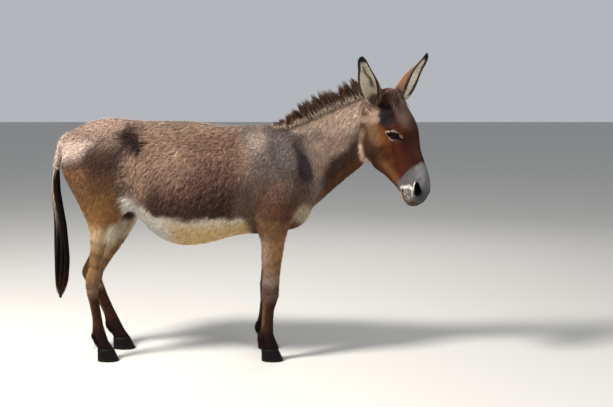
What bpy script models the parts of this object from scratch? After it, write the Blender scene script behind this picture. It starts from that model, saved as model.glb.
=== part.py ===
"""A standing donkey at life size, in metres: +Z up, nose towards +X, its right side towards -Y.

The flesh is lofted from named sections, joined, softened where limbs meet the trunk, sculpted with
short strokes, thinned to facets, and then parted into named pieces by slabs 0.4 mm thick. Ears, mane,
tail, hooves and eyes are pieces of their own, set against the flesh with the same gap.
"""

import math

import bmesh
import bpy
import numpy as np
from mathutils import Matrix, Vector
from mathutils.bvhtree import BVHTree

# ---------------------------------------------------------------- driving sizes
GAP = 0.0004  # between neighbouring pieces
VOXEL = 0.0075  # grain of the joined flesh before it is thinned
TRIANGLES = {"head": 1550, "legs": 1200, "trunk": 1380}  # facets kept in each region
LEFT_FORE_BACK = 0.028  # how far the left fore hoof stands behind the right
LIMB_OUT = 0.118  # from the middle plane to the middle of a leg
POLL = Vector((0.753, -0.111, 1.293))  # top of the skull, between the ears
HEAD_YAW = math.radians(30.5)  # the head looks to the donkey's right
HEAD_DROOP = math.radians(68.4)  # the line of the face, below the horizontal
EYE_RADIUS = 0.0215
EYE_AT = (0.190, 0.056)  # along the face, below the face line
EYE_LID = 0.0025  # thickness of the lid over the middle of the eye
EYE_SLIT = (0.0225, 0.0130)  # half the opening's length and height
EYE_TILT = math.radians(50)  # from the face line towards the forehead, at the inner corner
EAR_LENGTH = 0.260
EAR_WALL = 0.0085
CORONET = 0.062  # height of the top of the hoof

# ---------------------------------------------------------------- colours
COATS = {
    "body": ((0.235, 0.150, 0.105), 0.85),
    "face": ((0.210, 0.095, 0.050), 0.80),
    "belly": ((0.640, 0.560, 0.440), 0.85),
    "muzzle": ((0.330, 0.330, 0.340), 0.75),
    "leg": ((0.270, 0.170, 0.115), 0.85),
    "stocking": ((0.100, 0.058, 0.045), 0.85),
    "ear": ((0.190, 0.105, 0.065), 0.85),
    "mane": ((0.060, 0.030, 0.018), 0.80),
    "tail_hair": ((0.018, 0.012, 0.010), 0.60),
    "horn": ((0.022, 0.018, 0.016), 0.45),
    "eye": ((0.006, 0.004, 0.003), 0.08),
}

# ---------------------------------------------------------------- sections of the flesh
# A section has a top, a bottom, and four half widths, at these shares of the way down.
LEVELS = (0.12, 0.35, 0.62, 0.88)
LIMB_PROFILE = (0.62, 0.98, 0.96, 0.62)  # a leg's half widths, front to back

# x, top, bottom, half widths
TRUNK = [
    (-0.856, 1.040, 0.965, (0.020, 0.036, 0.036, 0.020)),
    (-0.835, 1.088, 0.900, (0.034, 0.062, 0.070, 0.050)),
    (-0.790, 1.122, 0.840, (0.056, 0.102, 0.112, 0.080)),
    (-0.730, 1.149, 0.790, (0.078, 0.138, 0.148, 0.100)),
    (-0.660, 1.164, 0.755, (0.092, 0.165, 0.172, 0.110)),
    (-0.590, 1.166, 0.725, (0.098, 0.180, 0.186, 0.115)),
    (-0.510, 1.160, 0.690, (0.102, 0.190, 0.196, 0.120)),
    (-0.440, 1.158, 0.622, (0.092, 0.190, 0.212, 0.138)),
    (-0.360, 1.158, 0.572, (0.084, 0.196, 0.236, 0.158)),
    (-0.270, 1.157, 0.551, (0.084, 0.204, 0.250, 0.168)),
    (-0.170, 1.150, 0.559, (0.082, 0.204, 0.246, 0.164)),
    (-0.070, 1.140, 0.583, (0.074, 0.190, 0.224, 0.146)),
    (0.020, 1.136, 0.602, (0.056, 0.164, 0.198, 0.124)),
    (0.100, 1.139, 0.604, (0.042, 0.140, 0.178, 0.108)),
    (0.170, 1.140, 0.606, (0.036, 0.124, 0.168, 0.102)),
    (0.235, 1.122, 0.622, (0.034, 0.112, 0.158, 0.096)),
    (0.290, 1.060, 0.640, (0.034, 0.096, 0.140, 0.086)),
    (0.330, 0.950, 0.680, (0.028, 0.066, 0.096, 0.066)),
    (0.347, 0.860, 0.716, (0.012, 0.030, 0.048, 0.034)),
]

# top (x, z), bottom (x, z), middle y, half widths
NECK = [
    ((0.060, 1.110), (0.160, 0.700), 0.000, (0.050, 0.120, 0.150, 0.110)),
    ((0.170, 1.130), (0.270, 0.680), 0.000, (0.038, 0.108, 0.142, 0.100)),
    ((0.250, 1.136), (0.345, 0.724), -0.003, (0.030, 0.092, 0.118, 0.086)),
    ((0.325, 1.166), (0.400, 0.776), -0.012, (0.026, 0.078, 0.096, 0.070)),
    ((0.415, 1.208), (0.468, 0.838), -0.030, (0.025, 0.068, 0.082, 0.058)),
    ((0.505, 1.248), (0.535, 0.898), -0.053, (0.026, 0.064, 0.074, 0.052)),
    ((0.590, 1.280), (0.600, 0.950), -0.080, (0.030, 0.064, 0.070, 0.048)),
    ((0.680, 1.284), (0.670, 1.000), -0.104, (0.030, 0.058, 0.062, 0.042)),
]

# along the face line from the poll, rise above it, depth below it, half widths
HEAD = [
    (-0.045, -0.040, 0.120, (0.030, 0.050, 0.050, 0.034)),
    (-0.015, -0.006, 0.160, (0.040, 0.062, 0.062, 0.038)),
    (0.035, 0.011, 0.205, (0.048, 0.075, 0.072, 0.040)),
    (0.090, 0.025, 0.240, (0.056, 0.086, 0.081, 0.042)),
    (0.145, 0.035, 0.256, (0.063, 0.092, 0.085, 0.044)),
    (0.195, 0.036, 0.260, (0.064, 0.090, 0.086, 0.045)),
    (0.240, 0.026, 0.262, (0.054, 0.080, 0.080, 0.043)),
    (0.290, 0.014, 0.252, (0.044, 0.066, 0.066, 0.040)),
    (0.340, 0.013, 0.212, (0.036, 0.054, 0.052, 0.035)),
    (0.390, 0.014, 0.182, (0.033, 0.049, 0.046, 0.032)),
    (0.430, 0.010, 0.163, (0.037, 0.052, 0.047, 0.035)),
    (0.465, 0.000, 0.152, (0.040, 0.056, 0.051, 0.037)),
    (0.495, -0.020, 0.149, (0.037, 0.054, 0.051, 0.036)),
    (0.517, -0.046, 0.138, (0.029, 0.043, 0.042, 0.029)),
    (0.529, -0.070, 0.119, (0.015, 0.024, 0.024, 0.015)),
]

# height, back x, front x, half width
FORELEG = [
    (0.860, 0.060, 0.290, 0.060),
    (0.780, 0.060, 0.292, 0.068),
    (0.710, 0.068, 0.268, 0.066),
    (0.655, 0.080, 0.246, 0.060),
    (0.610, 0.092, 0.232, 0.053),
    (0.560, 0.103, 0.221, 0.047),
    (0.490, 0.108, 0.209, 0.041),
    (0.420, 0.109, 0.200, 0.036),
    (0.365, 0.105, 0.196, 0.037),
    (0.325, 0.103, 0.194, 0.038),
    (0.290, 0.106, 0.184, 0.034),
    (0.255, 0.107, 0.172, 0.028),
    (0.200, 0.104, 0.166, 0.025),
    (0.150, 0.096, 0.165, 0.027),
    (0.116, 0.084, 0.169, 0.033),
    (0.092, 0.088, 0.175, 0.032),
    (0.066, 0.103, 0.184, 0.032),
    (0.040, 0.106, 0.196, 0.034),
]
HINDLEG_TOP = [
    (1.050, -0.760, -0.540, 0.060),
    (0.985, -0.836, -0.470, 0.088),
    (0.930, -0.843, -0.452, 0.095),
    (0.870, -0.822, -0.446, 0.096),
    (0.805, -0.786, -0.458, 0.089),
]
HINDLEG_RIGHT = HINDLEG_TOP + [
    (0.750, -0.759, -0.500, 0.079),
    (0.700, -0.739, -0.553, 0.067),
    (0.640, -0.722, -0.598, 0.054),
    (0.575, -0.717, -0.625, 0.044),
    (0.505, -0.720, -0.648, 0.036),
    (0.450, -0.727, -0.662, 0.033),
    (0.405, -0.743, -0.665, 0.035),
    (0.365, -0.744, -0.672, 0.036),
    (0.320, -0.735, -0.676, 0.031),
    (0.270, -0.724, -0.670, 0.026),
    (0.205, -0.714, -0.660, 0.025),
    (0.155, -0.714, -0.650, 0.029),
    (0.122, -0.718, -0.640, 0.033),
    (0.095, -0.706, -0.630, 0.031),
    (0.066, -0.690, -0.612, 0.031),
    (0.040, -0.686, -0.600, 0.033),
]
HINDLEG_LEFT = HINDLEG_TOP + [
    (0.750, -0.748, -0.482, 0.079),
    (0.700, -0.732, -0.496, 0.070),
    (0.640, -0.722, -0.522, 0.058),
    (0.580, -0.728, -0.560, 0.048),
    (0.525, -0.748, -0.600, 0.040),
    (0.465, -0.782, -0.644, 0.035),
    (0.420, -0.808, -0.674, 0.035),
    (0.385, -0.814, -0.694, 0.036),
    (0.345, -0.795, -0.698, 0.034),
    (0.295, -0.763, -0.684, 0.028),
    (0.240, -0.733, -0.662, 0.025),
    (0.190, -0.710, -0.640, 0.025),
    (0.150, -0.698, -0.622, 0.029),
    (0.118, -0.694, -0.606, 0.033),
    (0.092, -0.676, -0.592, 0.031),
    (0.066, -0.658, -0.574, 0.031),
    (0.040, -0.654, -0.560, 0.033),
]
# hoof sole: back x, front x, for each foot
SOLES = {
    "front_right": (0.104, 0.212),
    "front_left": (0.104 - LEFT_FORE_BACK, 0.212 - LEFT_FORE_BACK),
    "hind_right": (-0.690, -0.584),
    "hind_left": (-0.658, -0.544),
}
HOOF_HALF_WIDTH = 0.039

# ---------------------------------------------------------------- sculpting strokes
# name: from, to, radius, rise. A stroke is mirrored to the other side of the animal.
BODY_STROKES = {
    "point of the hip": ((-0.455, 0.165, 1.085), (-0.485, 0.185, 1.050), 0.045, 0.016),
    "hollow before the hip": ((-0.400, 0.140, 1.085), (-0.390, 0.185, 1.000), 0.050, -0.014),
    "hollow of the flank": ((-0.420, 0.200, 0.930), (-0.470, 0.190, 0.850), 0.055, -0.010),
    "spine of the loin": ((-0.640, 0.000, 1.170), (-0.200, 0.000, 1.160), 0.026, 0.006),
    "gutter beside the spine": ((-0.560, 0.075, 1.150), (-0.080, 0.070, 1.130), 0.045, -0.005),
    "withers": ((0.020, 0.000, 1.140), (0.200, 0.000, 1.140), 0.030, 0.006),
    "blade of the shoulder": ((0.080, 0.085, 1.060), (0.230, 0.150, 0.840), 0.042, 0.012),
    "hollow behind the blade": ((-0.010, 0.120, 1.020), (0.060, 0.185, 0.820), 0.050, -0.008),
    "hollow before the blade": ((0.200, 0.070, 1.060), (0.310, 0.120, 0.880), 0.040, -0.010),
    "point of the shoulder": ((0.285, 0.125, 0.820), (0.295, 0.120, 0.790), 0.045, 0.014),
    "upper arm": ((0.230, 0.160, 0.790), (0.120, 0.160, 0.720), 0.055, 0.010),
    "elbow": ((0.085, 0.145, 0.690), (0.085, 0.140, 0.670), 0.030, 0.010),
    "fold before the elbow": ((0.240, 0.080, 0.640), (0.200, 0.060, 0.600), 0.030, -0.010),
    "breast muscle": ((0.330, 0.055, 0.780), (0.290, 0.060, 0.690), 0.045, 0.012),
    "breast furrow": ((0.350, 0.000, 0.800), (0.320, 0.000, 0.660), 0.022, -0.008),
    "point of the buttock": ((-0.838, 0.075, 1.000), (-0.842, 0.080, 0.960), 0.035, 0.010),
    "haunch": ((-0.640, 0.165, 1.000), (-0.600, 0.180, 0.900), 0.090, 0.010),
    "hamstring furrow": ((-0.780, 0.170, 0.930), (-0.700, 0.170, 0.740), 0.030, -0.006),
    "stifle": ((-0.515, 0.165, 0.790), (-0.520, 0.160, 0.760), 0.040, 0.010),
    "belly": ((-0.340, 0.000, 0.560), (-0.200, 0.000, 0.560), 0.100, 0.004),
    "groove of the jugular": ((0.360, 0.070, 0.850), (0.560, 0.050, 0.990), 0.032, -0.006),
    "muscle of the neck": ((0.300, 0.080, 0.980), (0.580, 0.030, 1.150), 0.050, 0.006),
    "windpipe": ((0.380, 0.000, 0.780), (0.580, -0.060, 0.945), 0.035, 0.006),
}
# in head space: along the face, outwards, below the face line
HEAD_STROKES = {
    "brow": ((0.150, 0.084, 0.034), (0.200, 0.082, 0.012), 0.022, 0.016),
    "hollow above the eye": ((0.118, 0.078, 0.034), (0.128, 0.080, 0.026), 0.017, -0.007),
    "cheekbone": ((0.225, 0.084, 0.086), (0.310, 0.064, 0.096), 0.014, 0.006),
    "arch behind the eye": ((0.150, 0.092, 0.074), (0.100, 0.086, 0.080), 0.016, 0.006),
    "jaw muscle": ((0.130, 0.080, 0.140), (0.215, 0.080, 0.190), 0.045, 0.006),
    "hollow before the jaw muscle": ((0.285, 0.060, 0.110), (0.300, 0.052, 0.165), 0.024, -0.006),
    "side of the nose": ((0.280, 0.050, 0.040), (0.380, 0.045, 0.048), 0.020, -0.004),
    "groove under the jaw": ((0.180, 0.000, 0.262), (0.330, 0.000, 0.186), 0.020, -0.010),
    "wing of the nostril": ((0.430, 0.050, 0.012), (0.485, 0.048, 0.040), 0.018, 0.006),
    "chin": ((0.462, 0.000, 0.150), (0.480, 0.000, 0.148), 0.020, 0.006),
    "eyelids": ((0.178, 0.094, 0.066), (0.204, 0.092, 0.044), 0.019, 0.005),
    "bridge of the nose": ((0.220, 0.000, -0.010), (0.400, 0.000, 0.000), 0.020, 0.003),
    "upper lip": ((0.515, 0.000, 0.050), (0.524, 0.000, 0.090), 0.026, 0.004),
}

# places where the joined flesh is softened: centre, radius
SOFT_ZONES = [
    ((0.180, 0.10, 0.680), 0.16),
    ((0.230, 0.00, 0.900), 0.26),
    ((0.600, -0.09, 1.130), 0.17),
    ((0.640, -0.10, 1.000), 0.12),
    ((-0.600, 0.13, 0.800), 0.22),
    ((-0.750, 0.09, 0.950), 0.20),
    ((-0.480, 0.12, 0.720), 0.14),
]

# where each hind leg is parted below its hock
HOCK = {"right": (-0.705, 0.345), "left": (-0.765, 0.330)}

# ---------------------------------------------------------------- small tools
def clear_scene():
    for obj in list(bpy.data.objects):
        bpy.data.objects.remove(obj)


def linked(name, mesh):
    obj = bpy.data.objects.new(name, mesh)
    bpy.context.scene.collection.objects.link(obj)
    return obj


def mesh_of(name, points, faces):
    mesh = bpy.data.meshes.new(name)
    mesh.from_pydata([tuple(p) for p in points], [], faces)
    mesh.update()
    return mesh


def catmull(rows, spans, closed=False):
    """Rows of numbers, read as points on one smooth curve, with `spans` steps between each two."""
    rows = np.array(rows, float)
    count = len(rows)
    steps = count if closed else count - 1
    out = []
    for i in range(steps):
        near = [(i + k) % count if closed else min(max(i + k, 0), count - 1) for k in (-1, 0, 1, 2)]
        p0, p1, p2, p3 = rows[near]
        for t in np.linspace(0, 1, spans, endpoint=False):
            out.append(
                0.5 * (2 * p1 + (p2 - p0) * t + (2 * p0 - 5 * p1 + 4 * p2 - p3) * t**2
                       + (3 * p1 - p0 - 3 * p2 + p3) * t**3)
            )
    if not closed:
        out.append(rows[-1])
    return np.array(out)


def ring(top, bottom, side, widths):
    """A closed smooth outline through a section's top, bottom and half widths on both sides."""
    top, bottom, side = (np.array(v, float) for v in (top, bottom, side))
    right = [top + (bottom - top) * level + side * width for level, width in zip(LEVELS, widths)]
    left = [top + (bottom - top) * level - side * width for level, width in zip(LEVELS, widths)]
    return catmull([top, *right, bottom, *reversed(left)], 4, closed=True)


def loft(name, rings):
    """A closed tube through rings of equal length, capped with fans."""
    n = len(rings[0])
    points = [p for one in rings for p in one]
    faces = []
    for i in range(len(rings) - 1):
        for j in range(n):
            k = (j + 1) % n
            faces.append((i * n + j, i * n + k, (i + 1) * n + k, (i + 1) * n + j))
    for first, ring_points in ((0, rings[0]), ((len(rings) - 1) * n, rings[-1])):
        points.append(np.mean(ring_points, axis=0))
        middle = len(points) - 1
        for j in range(n):
            faces.append((first + j, first + (j + 1) % n, middle))
    mesh = mesh_of(name, points, faces)
    outward(mesh)
    return mesh


def outward(mesh):
    bm = bmesh.new()
    bm.from_mesh(mesh)
    bmesh.ops.recalc_face_normals(bm, faces=bm.faces)
    if bm.calc_volume(signed=True) < 0:
        bmesh.ops.reverse_faces(bm, faces=bm.faces)
    bm.to_mesh(mesh)
    bm.free()


def joined(name, meshes):
    bm = bmesh.new()
    for mesh in meshes:
        bm.from_mesh(mesh)
    whole = bpy.data.meshes.new(name)
    bm.to_mesh(whole)
    bm.free()
    return whole


def evaluated(obj):
    """The object's mesh with its modifiers applied, the object itself removed."""
    graph = bpy.context.evaluated_depsgraph_get()
    mesh = bpy.data.meshes.new_from_object(obj.evaluated_get(graph))
    bpy.data.objects.remove(obj)
    return mesh


def with_modifiers(mesh, *modifiers):
    obj = linked("working", mesh)
    for kind, settings in modifiers:
        modifier = obj.modifiers.new(kind.lower(), kind)
        for key, value in settings.items():
            setattr(modifier, key, value)
    return evaluated(obj)


def points_of(mesh):
    co = np.empty(len(mesh.vertices) * 3)
    mesh.vertices.foreach_get("co", co)
    return co.reshape(-1, 3)


def normals_of(mesh):
    normals = np.empty(len(mesh.vertices) * 3, np.float32)
    mesh.vertex_normals.foreach_get("vector", normals)
    return normals.reshape(-1, 3).astype(float)


def set_points(mesh, points):
    mesh.vertices.foreach_set("co", points.astype(np.float32).ravel())
    mesh.update()


def softened(mesh, weights, rounds):
    """Moves each point towards the middle of its neighbours, by its weight."""
    edges = np.empty(len(mesh.edges) * 2, np.int64)
    mesh.edges.foreach_get("vertices", edges)
    edges = edges.reshape(-1, 2)
    points = points_of(mesh)
    count = np.bincount(edges.ravel(), minlength=len(points))[:, None]
    for _ in range(rounds):
        total = np.zeros_like(points)
        np.add.at(total, edges[:, 0], points[edges[:, 1]])
        np.add.at(total, edges[:, 1], points[edges[:, 0]])
        points += weights[:, None] * 0.6 * (total / count - points)
    set_points(mesh, points)


def distance_to_stroke(points, start, end):
    start, end = np.array(start, float), np.array(end, float)
    along = end - start
    share = np.clip((points - start) @ along / max(along @ along, 1e-12), 0, 1)
    return np.linalg.norm(points - start - share[:, None] * along, axis=1)


def sculpted(mesh, strokes, place):
    """Raises or sinks the surface along its normals under each stroke, on both sides."""
    for start, end, radius, rise in strokes.values():
        points, normals = points_of(mesh), normals_of(mesh)
        reach = np.zeros(len(points))
        for side in (1, -1):
            a, b = (place(Vector((p[0], p[1] * side, p[2]))) for p in (start, end))
            reach = np.maximum(reach, np.exp(-((distance_to_stroke(points, a, b) / radius) ** 2)))
        set_points(mesh, points + normals * (reach * rise)[:, None])


# ---------------------------------------------------------------- frames of the head and body
def head_matrix():
    """From head space (along the face, outwards to the right, below the face line) to the world."""
    forward = Vector((math.cos(HEAD_YAW), -math.sin(HEAD_YAW), 0))
    right = Vector((-math.sin(HEAD_YAW), -math.cos(HEAD_YAW), 0))
    up = Vector((0, 0, 1))
    along = forward * math.cos(HEAD_DROOP) - up * math.sin(HEAD_DROOP)
    below = -(forward * math.sin(HEAD_DROOP) + up * math.cos(HEAD_DROOP))
    return Matrix((
        (along.x, right.x, below.x, POLL.x),
        (along.y, right.y, below.y, POLL.y),
        (along.z, right.z, below.z, POLL.z),
        (0, 0, 0, 1),
    ))


HEAD_SPACE = head_matrix()


def in_head(point):
    return HEAD_SPACE @ Vector(point)


def in_body(point):
    return Vector(point)


# ---------------------------------------------------------------- flesh
def trunk_mesh():
    rows = catmull([(x, top, bottom, *widths) for x, top, bottom, widths in TRUNK], 4)
    rings = [ring((r[0], 0, r[1]), (r[0], 0, r[2]), (0, 1, 0), r[3:]) for r in rows]
    return loft("trunk", rings)


def neck_mesh():
    rows = catmull([(*top, *bottom, y, *widths) for top, bottom, y, widths in NECK], 5)
    rings = []
    for i, r in enumerate(rows):
        ahead, behind = rows[min(i + 1, len(rows) - 1)], rows[max(i - 1, 0)]
        heading = Vector((ahead[0] - behind[0], ahead[4] - behind[4], 0)).normalized()
        side = (-heading.y, heading.x, 0)
        rings.append(ring((r[0], r[4], r[1]), (r[2], r[4], r[3]), side, r[5:]))
    return loft("neck", rings)


def head_mesh():
    rows = catmull([(s, rise, depth, *widths) for s, rise, depth, widths in HEAD], 5)
    rings = [
        [in_head(p) for p in ring((r[0], 0, -r[1]), (r[0], 0, r[2]), (0, 1, 0), r[3:])]
        for r in rows
    ]
    return loft("head", rings)


def moved_back(stations):
    """The same leg set a little further back, more so towards the foot."""
    return [
        (z, back - LEFT_FORE_BACK * (1 - z), front - LEFT_FORE_BACK * (1 - z), half)
        for z, back, front, half in stations
    ]


def limb_mesh(name, stations, y):
    rows = catmull(stations, 4)
    rings = []
    for height, back, front, half in rows:
        widths = [half * share for share in LIMB_PROFILE]
        rings.append(ring((front, y, height), (back, y, height), (0, 1, 0), widths))
    return loft(name, rings)


def flesh_mesh():
    """Trunk, neck, head and legs as one closed skin, still whole."""
    parts = [trunk_mesh(), neck_mesh(), head_mesh()]
    for side, hind in ((-1, HINDLEG_RIGHT), (1, HINDLEG_LEFT)):
        fore = FORELEG if side < 0 else moved_back(FORELEG)
        parts.append(limb_mesh("foreleg", fore, side * LIMB_OUT))
        parts.append(limb_mesh("hindleg", hind, side * LIMB_OUT))
    mesh = with_modifiers(
        joined("flesh", parts), ("REMESH", {"mode": "VOXEL", "voxel_size": VOXEL})
    )
    points = points_of(mesh)
    weights = np.full(len(points), 0.10)
    for (x, y, z), radius in SOFT_ZONES:
        for side in {y, -y} if x < 0.5 else {y}:
            distance = np.linalg.norm(points - np.array((x, side, z)), axis=1)
            weights = np.maximum(weights, np.clip(1.3 - distance / radius, 0, 1))
    softened(mesh, weights, 26)
    sculpted(mesh, BODY_STROKES, in_body)
    sculpted(mesh, HEAD_STROKES, in_head)
    softened(mesh, np.full(len(points), 0.5), 2)
    return mesh


def in_region(points, region):
    """Which points belong to the head, to the legs, or to the trunk and neck."""
    to_local = np.array(HEAD_SPACE.inverted())
    local = points @ to_local[:3, :3].T + to_local[:3, 3]
    head = (local[:, 0] + 0.25 * local[:, 2] > 0.035) & (points[:, 0] > 0.5)
    legs = (points[:, 2] < 0.66) & ~head
    return {"head": head, "legs": legs, "trunk": ~head & ~legs}[region]


def thinned(mesh):
    """Fewer facets: one region after another is brought down to its own number."""
    for region, target in TRIANGLES.items():
        obj = linked("working", mesh)
        own = in_region(points_of(mesh), region)
        group = obj.vertex_groups.new(name=region)
        group.add(np.flatnonzero(own).tolist(), 1.0, "REPLACE")
        total = inside = 0
        for face in mesh.polygons:
            count = len(face.vertices) - 2
            total += count
            inside += count if own[face.vertices[0]] else 0
        modifier = obj.modifiers.new("thin", "DECIMATE")
        modifier.ratio = (total - inside + target) / total
        modifier.vertex_group = region
        modifier.vertex_group_factor = 10
        mesh = evaluated(obj)
    return with_modifiers(mesh, ("TRIANGULATE", {}))


def slab_mesh(centre, normal, reach, width):
    """A sheet as thick as the gap, across `normal`, `width` being its half size sideways."""
    normal = Vector(normal).normalized()
    side = (Vector((0, 1, 0)) - normal * normal.y).normalized()
    length = side.cross(normal)
    turn = Matrix((length, side, normal)).transposed().to_4x4()
    bm = bmesh.new()
    bmesh.ops.create_cube(bm, size=1)
    bmesh.ops.scale(bm, vec=(2 * reach, 2 * width, GAP), verts=bm.verts)
    bmesh.ops.transform(bm, matrix=Matrix.Translation(centre) @ turn, verts=bm.verts)
    mesh = bpy.data.meshes.new("slab")
    bm.to_mesh(mesh)
    bm.free()
    outward(mesh)
    return mesh


def boolean(mesh, cutter, operation="DIFFERENCE"):
    tool = linked("cutter", cutter)
    made = with_modifiers(mesh, ("BOOLEAN", {"operation": operation, "object": tool, "solver": "EXACT"}))
    bpy.data.objects.remove(tool)
    return made


def loose_parts(mesh):
    """The separate shells of a mesh, each as its own mesh."""
    edges = np.empty(len(mesh.edges) * 2, np.int64)
    mesh.edges.foreach_get("vertices", edges)
    label = np.arange(len(mesh.vertices))
    a, b = edges.reshape(-1, 2).T
    while True:
        low = np.minimum(label[a], label[b])
        after = label.copy()
        np.minimum.at(after, a, low)
        np.minimum.at(after, b, low)
        after = after[after]
        if (after == label).all():
            break
        label = after
    points = points_of(mesh)
    faces = [tuple(p.vertices) for p in mesh.polygons]
    for root in np.unique(label):
        own = np.flatnonzero(label == root)
        index = {v: i for i, v in enumerate(own)}
        yield mesh_of("part", points[own], [tuple(index[v] for v in f) for f in faces if f[0] in index])


def largest_shell(mesh):
    return max(loose_parts(mesh), key=lambda part: len(part.vertices))


def ball_mesh(centre, radius, segments=12, rings=7):
    bm = bmesh.new()
    bmesh.ops.create_uvsphere(bm, u_segments=segments, v_segments=rings, radius=radius)
    pole_out = HEAD_SPACE.to_3x3().to_4x4() @ Matrix.Rotation(math.radians(90), 4, "X")
    bmesh.ops.transform(bm, matrix=Matrix.Translation(centre) @ pole_out, verts=bm.verts)
    mesh = bpy.data.meshes.new("ball")
    bm.to_mesh(mesh)
    bm.free()
    outward(mesh)
    return mesh


def prism_mesh(outline, lateral):
    """A straight-sided plug in head space: an outline along and below the face, from one y to another."""
    n = len(outline)
    points = [in_head((s, y, d)) for y in lateral for s, d in outline]
    faces = [tuple(range(n)), tuple(reversed(range(n, 2 * n)))]
    faces += [(j, (j + 1) % n, n + (j + 1) % n, n + j) for j in range(n)]
    mesh = mesh_of("plug", points, faces)
    outward(mesh)
    return mesh


def eye_centres(flesh):
    """Each eye's middle in head space, a lid's thickness inside the skin."""
    tree = BVHTree.FromPolygons([v.co for v in flesh.vertices], [p.vertices for p in flesh.polygons])
    centres = {}
    along, below = EYE_AT
    for side in (1, -1):
        start, end = in_head((along, side * 0.3, below)), in_head((along, 0, below))
        skin = HEAD_SPACE.inverted() @ tree.ray_cast(start, (end - start).normalized())[0]
        out = abs(skin.y) - EYE_LID - EYE_RADIUS
        centres[side] = Vector((along, side * out, below))
    return centres


def eye_slit(centre):
    """The almond between the lids, as a plug that stops short of the ball's middle."""
    side = math.copysign(1, centre.y)
    outline = []
    for t in np.linspace(0, 2 * math.pi, 14, endpoint=False):
        along = math.cos(t) * EYE_SLIT[0]
        across = math.sin(t) * EYE_SLIT[1] * (1 - 0.35 * abs(math.cos(t)))
        outline.append((
            centre.x + along * math.cos(EYE_TILT) + across * math.sin(EYE_TILT),
            centre.z - along * math.sin(EYE_TILT) + across * math.cos(EYE_TILT),
        ))
    return prism_mesh(outline, (centre.y + side * 0.009, centre.y + side * 0.060))


def nostril_mesh(side):
    """A comma-shaped hollow that runs back and inwards from the side of the muzzle."""
    route = [
        ((0.412, 0.062, 0.012), 0.006, 0.004),
        ((0.428, 0.056, 0.020), 0.011, 0.007),
        ((0.448, 0.050, 0.030), 0.015, 0.009),
        ((0.468, 0.046, 0.038), 0.016, 0.011),
        ((0.484, 0.046, 0.042), 0.011, 0.008),
        ((0.492, 0.050, 0.043), 0.005, 0.004),
    ]
    rings = []
    for (s, y, d), inward, half in route:
        ring_points = []
        for t in np.linspace(0, 2 * math.pi, 7, endpoint=False):
            ring_points.append(in_head((s, side * (y + inward * math.cos(t) * 1.5), d + half * math.sin(t))))
        rings.append(ring_points)
    return loft("nostril", rings)


def mouth_mesh(side):
    """A shallow slit from the corner of the mouth round to the front of the lips."""
    line = [(0.428, 0.120), (0.446, 0.124), (0.470, 0.127), (0.495, 0.126), (0.520, 0.118), (0.540, 0.110)]
    half = 0.0012
    outline = [(s, d - half) for s, d in line] + [(s, d + half) for s, d in reversed(line)]
    return prism_mesh(outline, (side * 0.024, side * 0.090))


def carved_head(mesh, centres):
    """Opens the eye sockets, nostrils and mouth."""
    for side, centre in centres.items():
        cutters = [ball_mesh(in_head(centre), EYE_RADIUS + GAP), eye_slit(centre)]
        for cutter in cutters + [nostril_mesh(side), mouth_mesh(side)]:
            mesh = boolean(mesh, cutter)
    return mesh


# ---------------------------------------------------------------- other pieces
EARS = {
    # base in head space, reach of the tip from it in the world, way the hollow faces in the world
    "right": ((0.015, 0.072, 0.098), (-0.0685, -0.1315, 0.2176), (-0.52, -0.85, 0.00)),
    "left": ((0.018, -0.070, 0.040), (0.139, 0.035, 0.221), (0.88, -0.44, -0.15)),
}
# share of the length, radius, half angle of the curl in degrees, back of the shell behind the axis
EAR_SECTIONS = [
    (-0.14, 0.0240, 150, 0.024),
    (0.00, 0.0330, 146, 0.034),
    (0.11, 0.0410, 134, 0.040),
    (0.25, 0.0490, 116, 0.043),
    (0.41, 0.0510, 98, 0.037),
    (0.56, 0.0490, 78, 0.025),
    (0.71, 0.0440, 60, 0.012),
    (0.84, 0.0385, 53, 0.004),
    (0.92, 0.0325, 50, 0.002),
    (0.965, 0.0250, 50, 0.001),
    (0.990, 0.0165, 50, 0.001),
    (1.00, 0.0080, 50, 0.001),
]


def ear_mesh(side):
    """A long leaf rolled at its root and open above: an outer and an inner face joined at the rim."""
    base, reach, facing = EARS[side]
    foot = in_head(base)
    axis = Vector(reach).normalized()
    opening = (Vector(facing) - axis * Vector(facing).dot(axis)).normalized()
    across = axis.cross(opening)
    rings = []
    for share, radius, curl, back in EAR_SECTIONS:
        middle = foot + axis * share * EAR_LENGTH + opening * (radius - back)
        wall = min(EAR_WALL, radius * 0.8)
        outer, inner = [], []
        for angle in np.radians(np.linspace(-curl, curl, 9)):
            out = across * math.sin(angle) - opening * math.cos(angle)
            thin = wall * (1 - 0.45 * abs(math.sin(angle / 2)) ** 3)
            outer.append(middle + out * radius)
            inner.append(middle + out * (radius - thin))
        rings.append(outer + inner[::-1])
    return loft("ear_" + side, rings)


MANE_HEIGHT = 0.098
MANE_CLUMPS = 14
MANE_LEAN = Vector((-0.50, 0.02, 0.86))


def mane_mesh():
    """An upright crest of clumps that lean back, from the withers to the poll."""
    crest = catmull([(t[0], y, t[1]) for t, b, y, w in NECK[1:]] + [(0.690, -0.106, 1.288)], 12)
    rings = []
    count = MANE_CLUMPS * 2
    for i in range(count + 1):
        share = (i - 0.35 * (i % 2)) / count
        root = Vector([np.interp(share * (len(crest) - 1), range(len(crest)), axis) for axis in crest.T])
        rise = MANE_HEIGHT * min(1, 0.25 + 2.6 * share) * min(1, 0.45 + 6 * (1 - share))
        tip = root + MANE_LEAN * rise * (1.0 if i % 2 else 0.70)
        middle = root + MANE_LEAN * rise * 0.45
        low = root - Vector((0, 0, 0.016))
        section = [(low, 0.018), (middle, 0.015), (tip, 0.005)]
        left = [p + Vector((0, half, 0)) for p, half in section]
        right = [p - Vector((0, half, 0)) for p, half in reversed(section)]
        rings.append(left + right)
    return loft("mane", rings)


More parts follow.
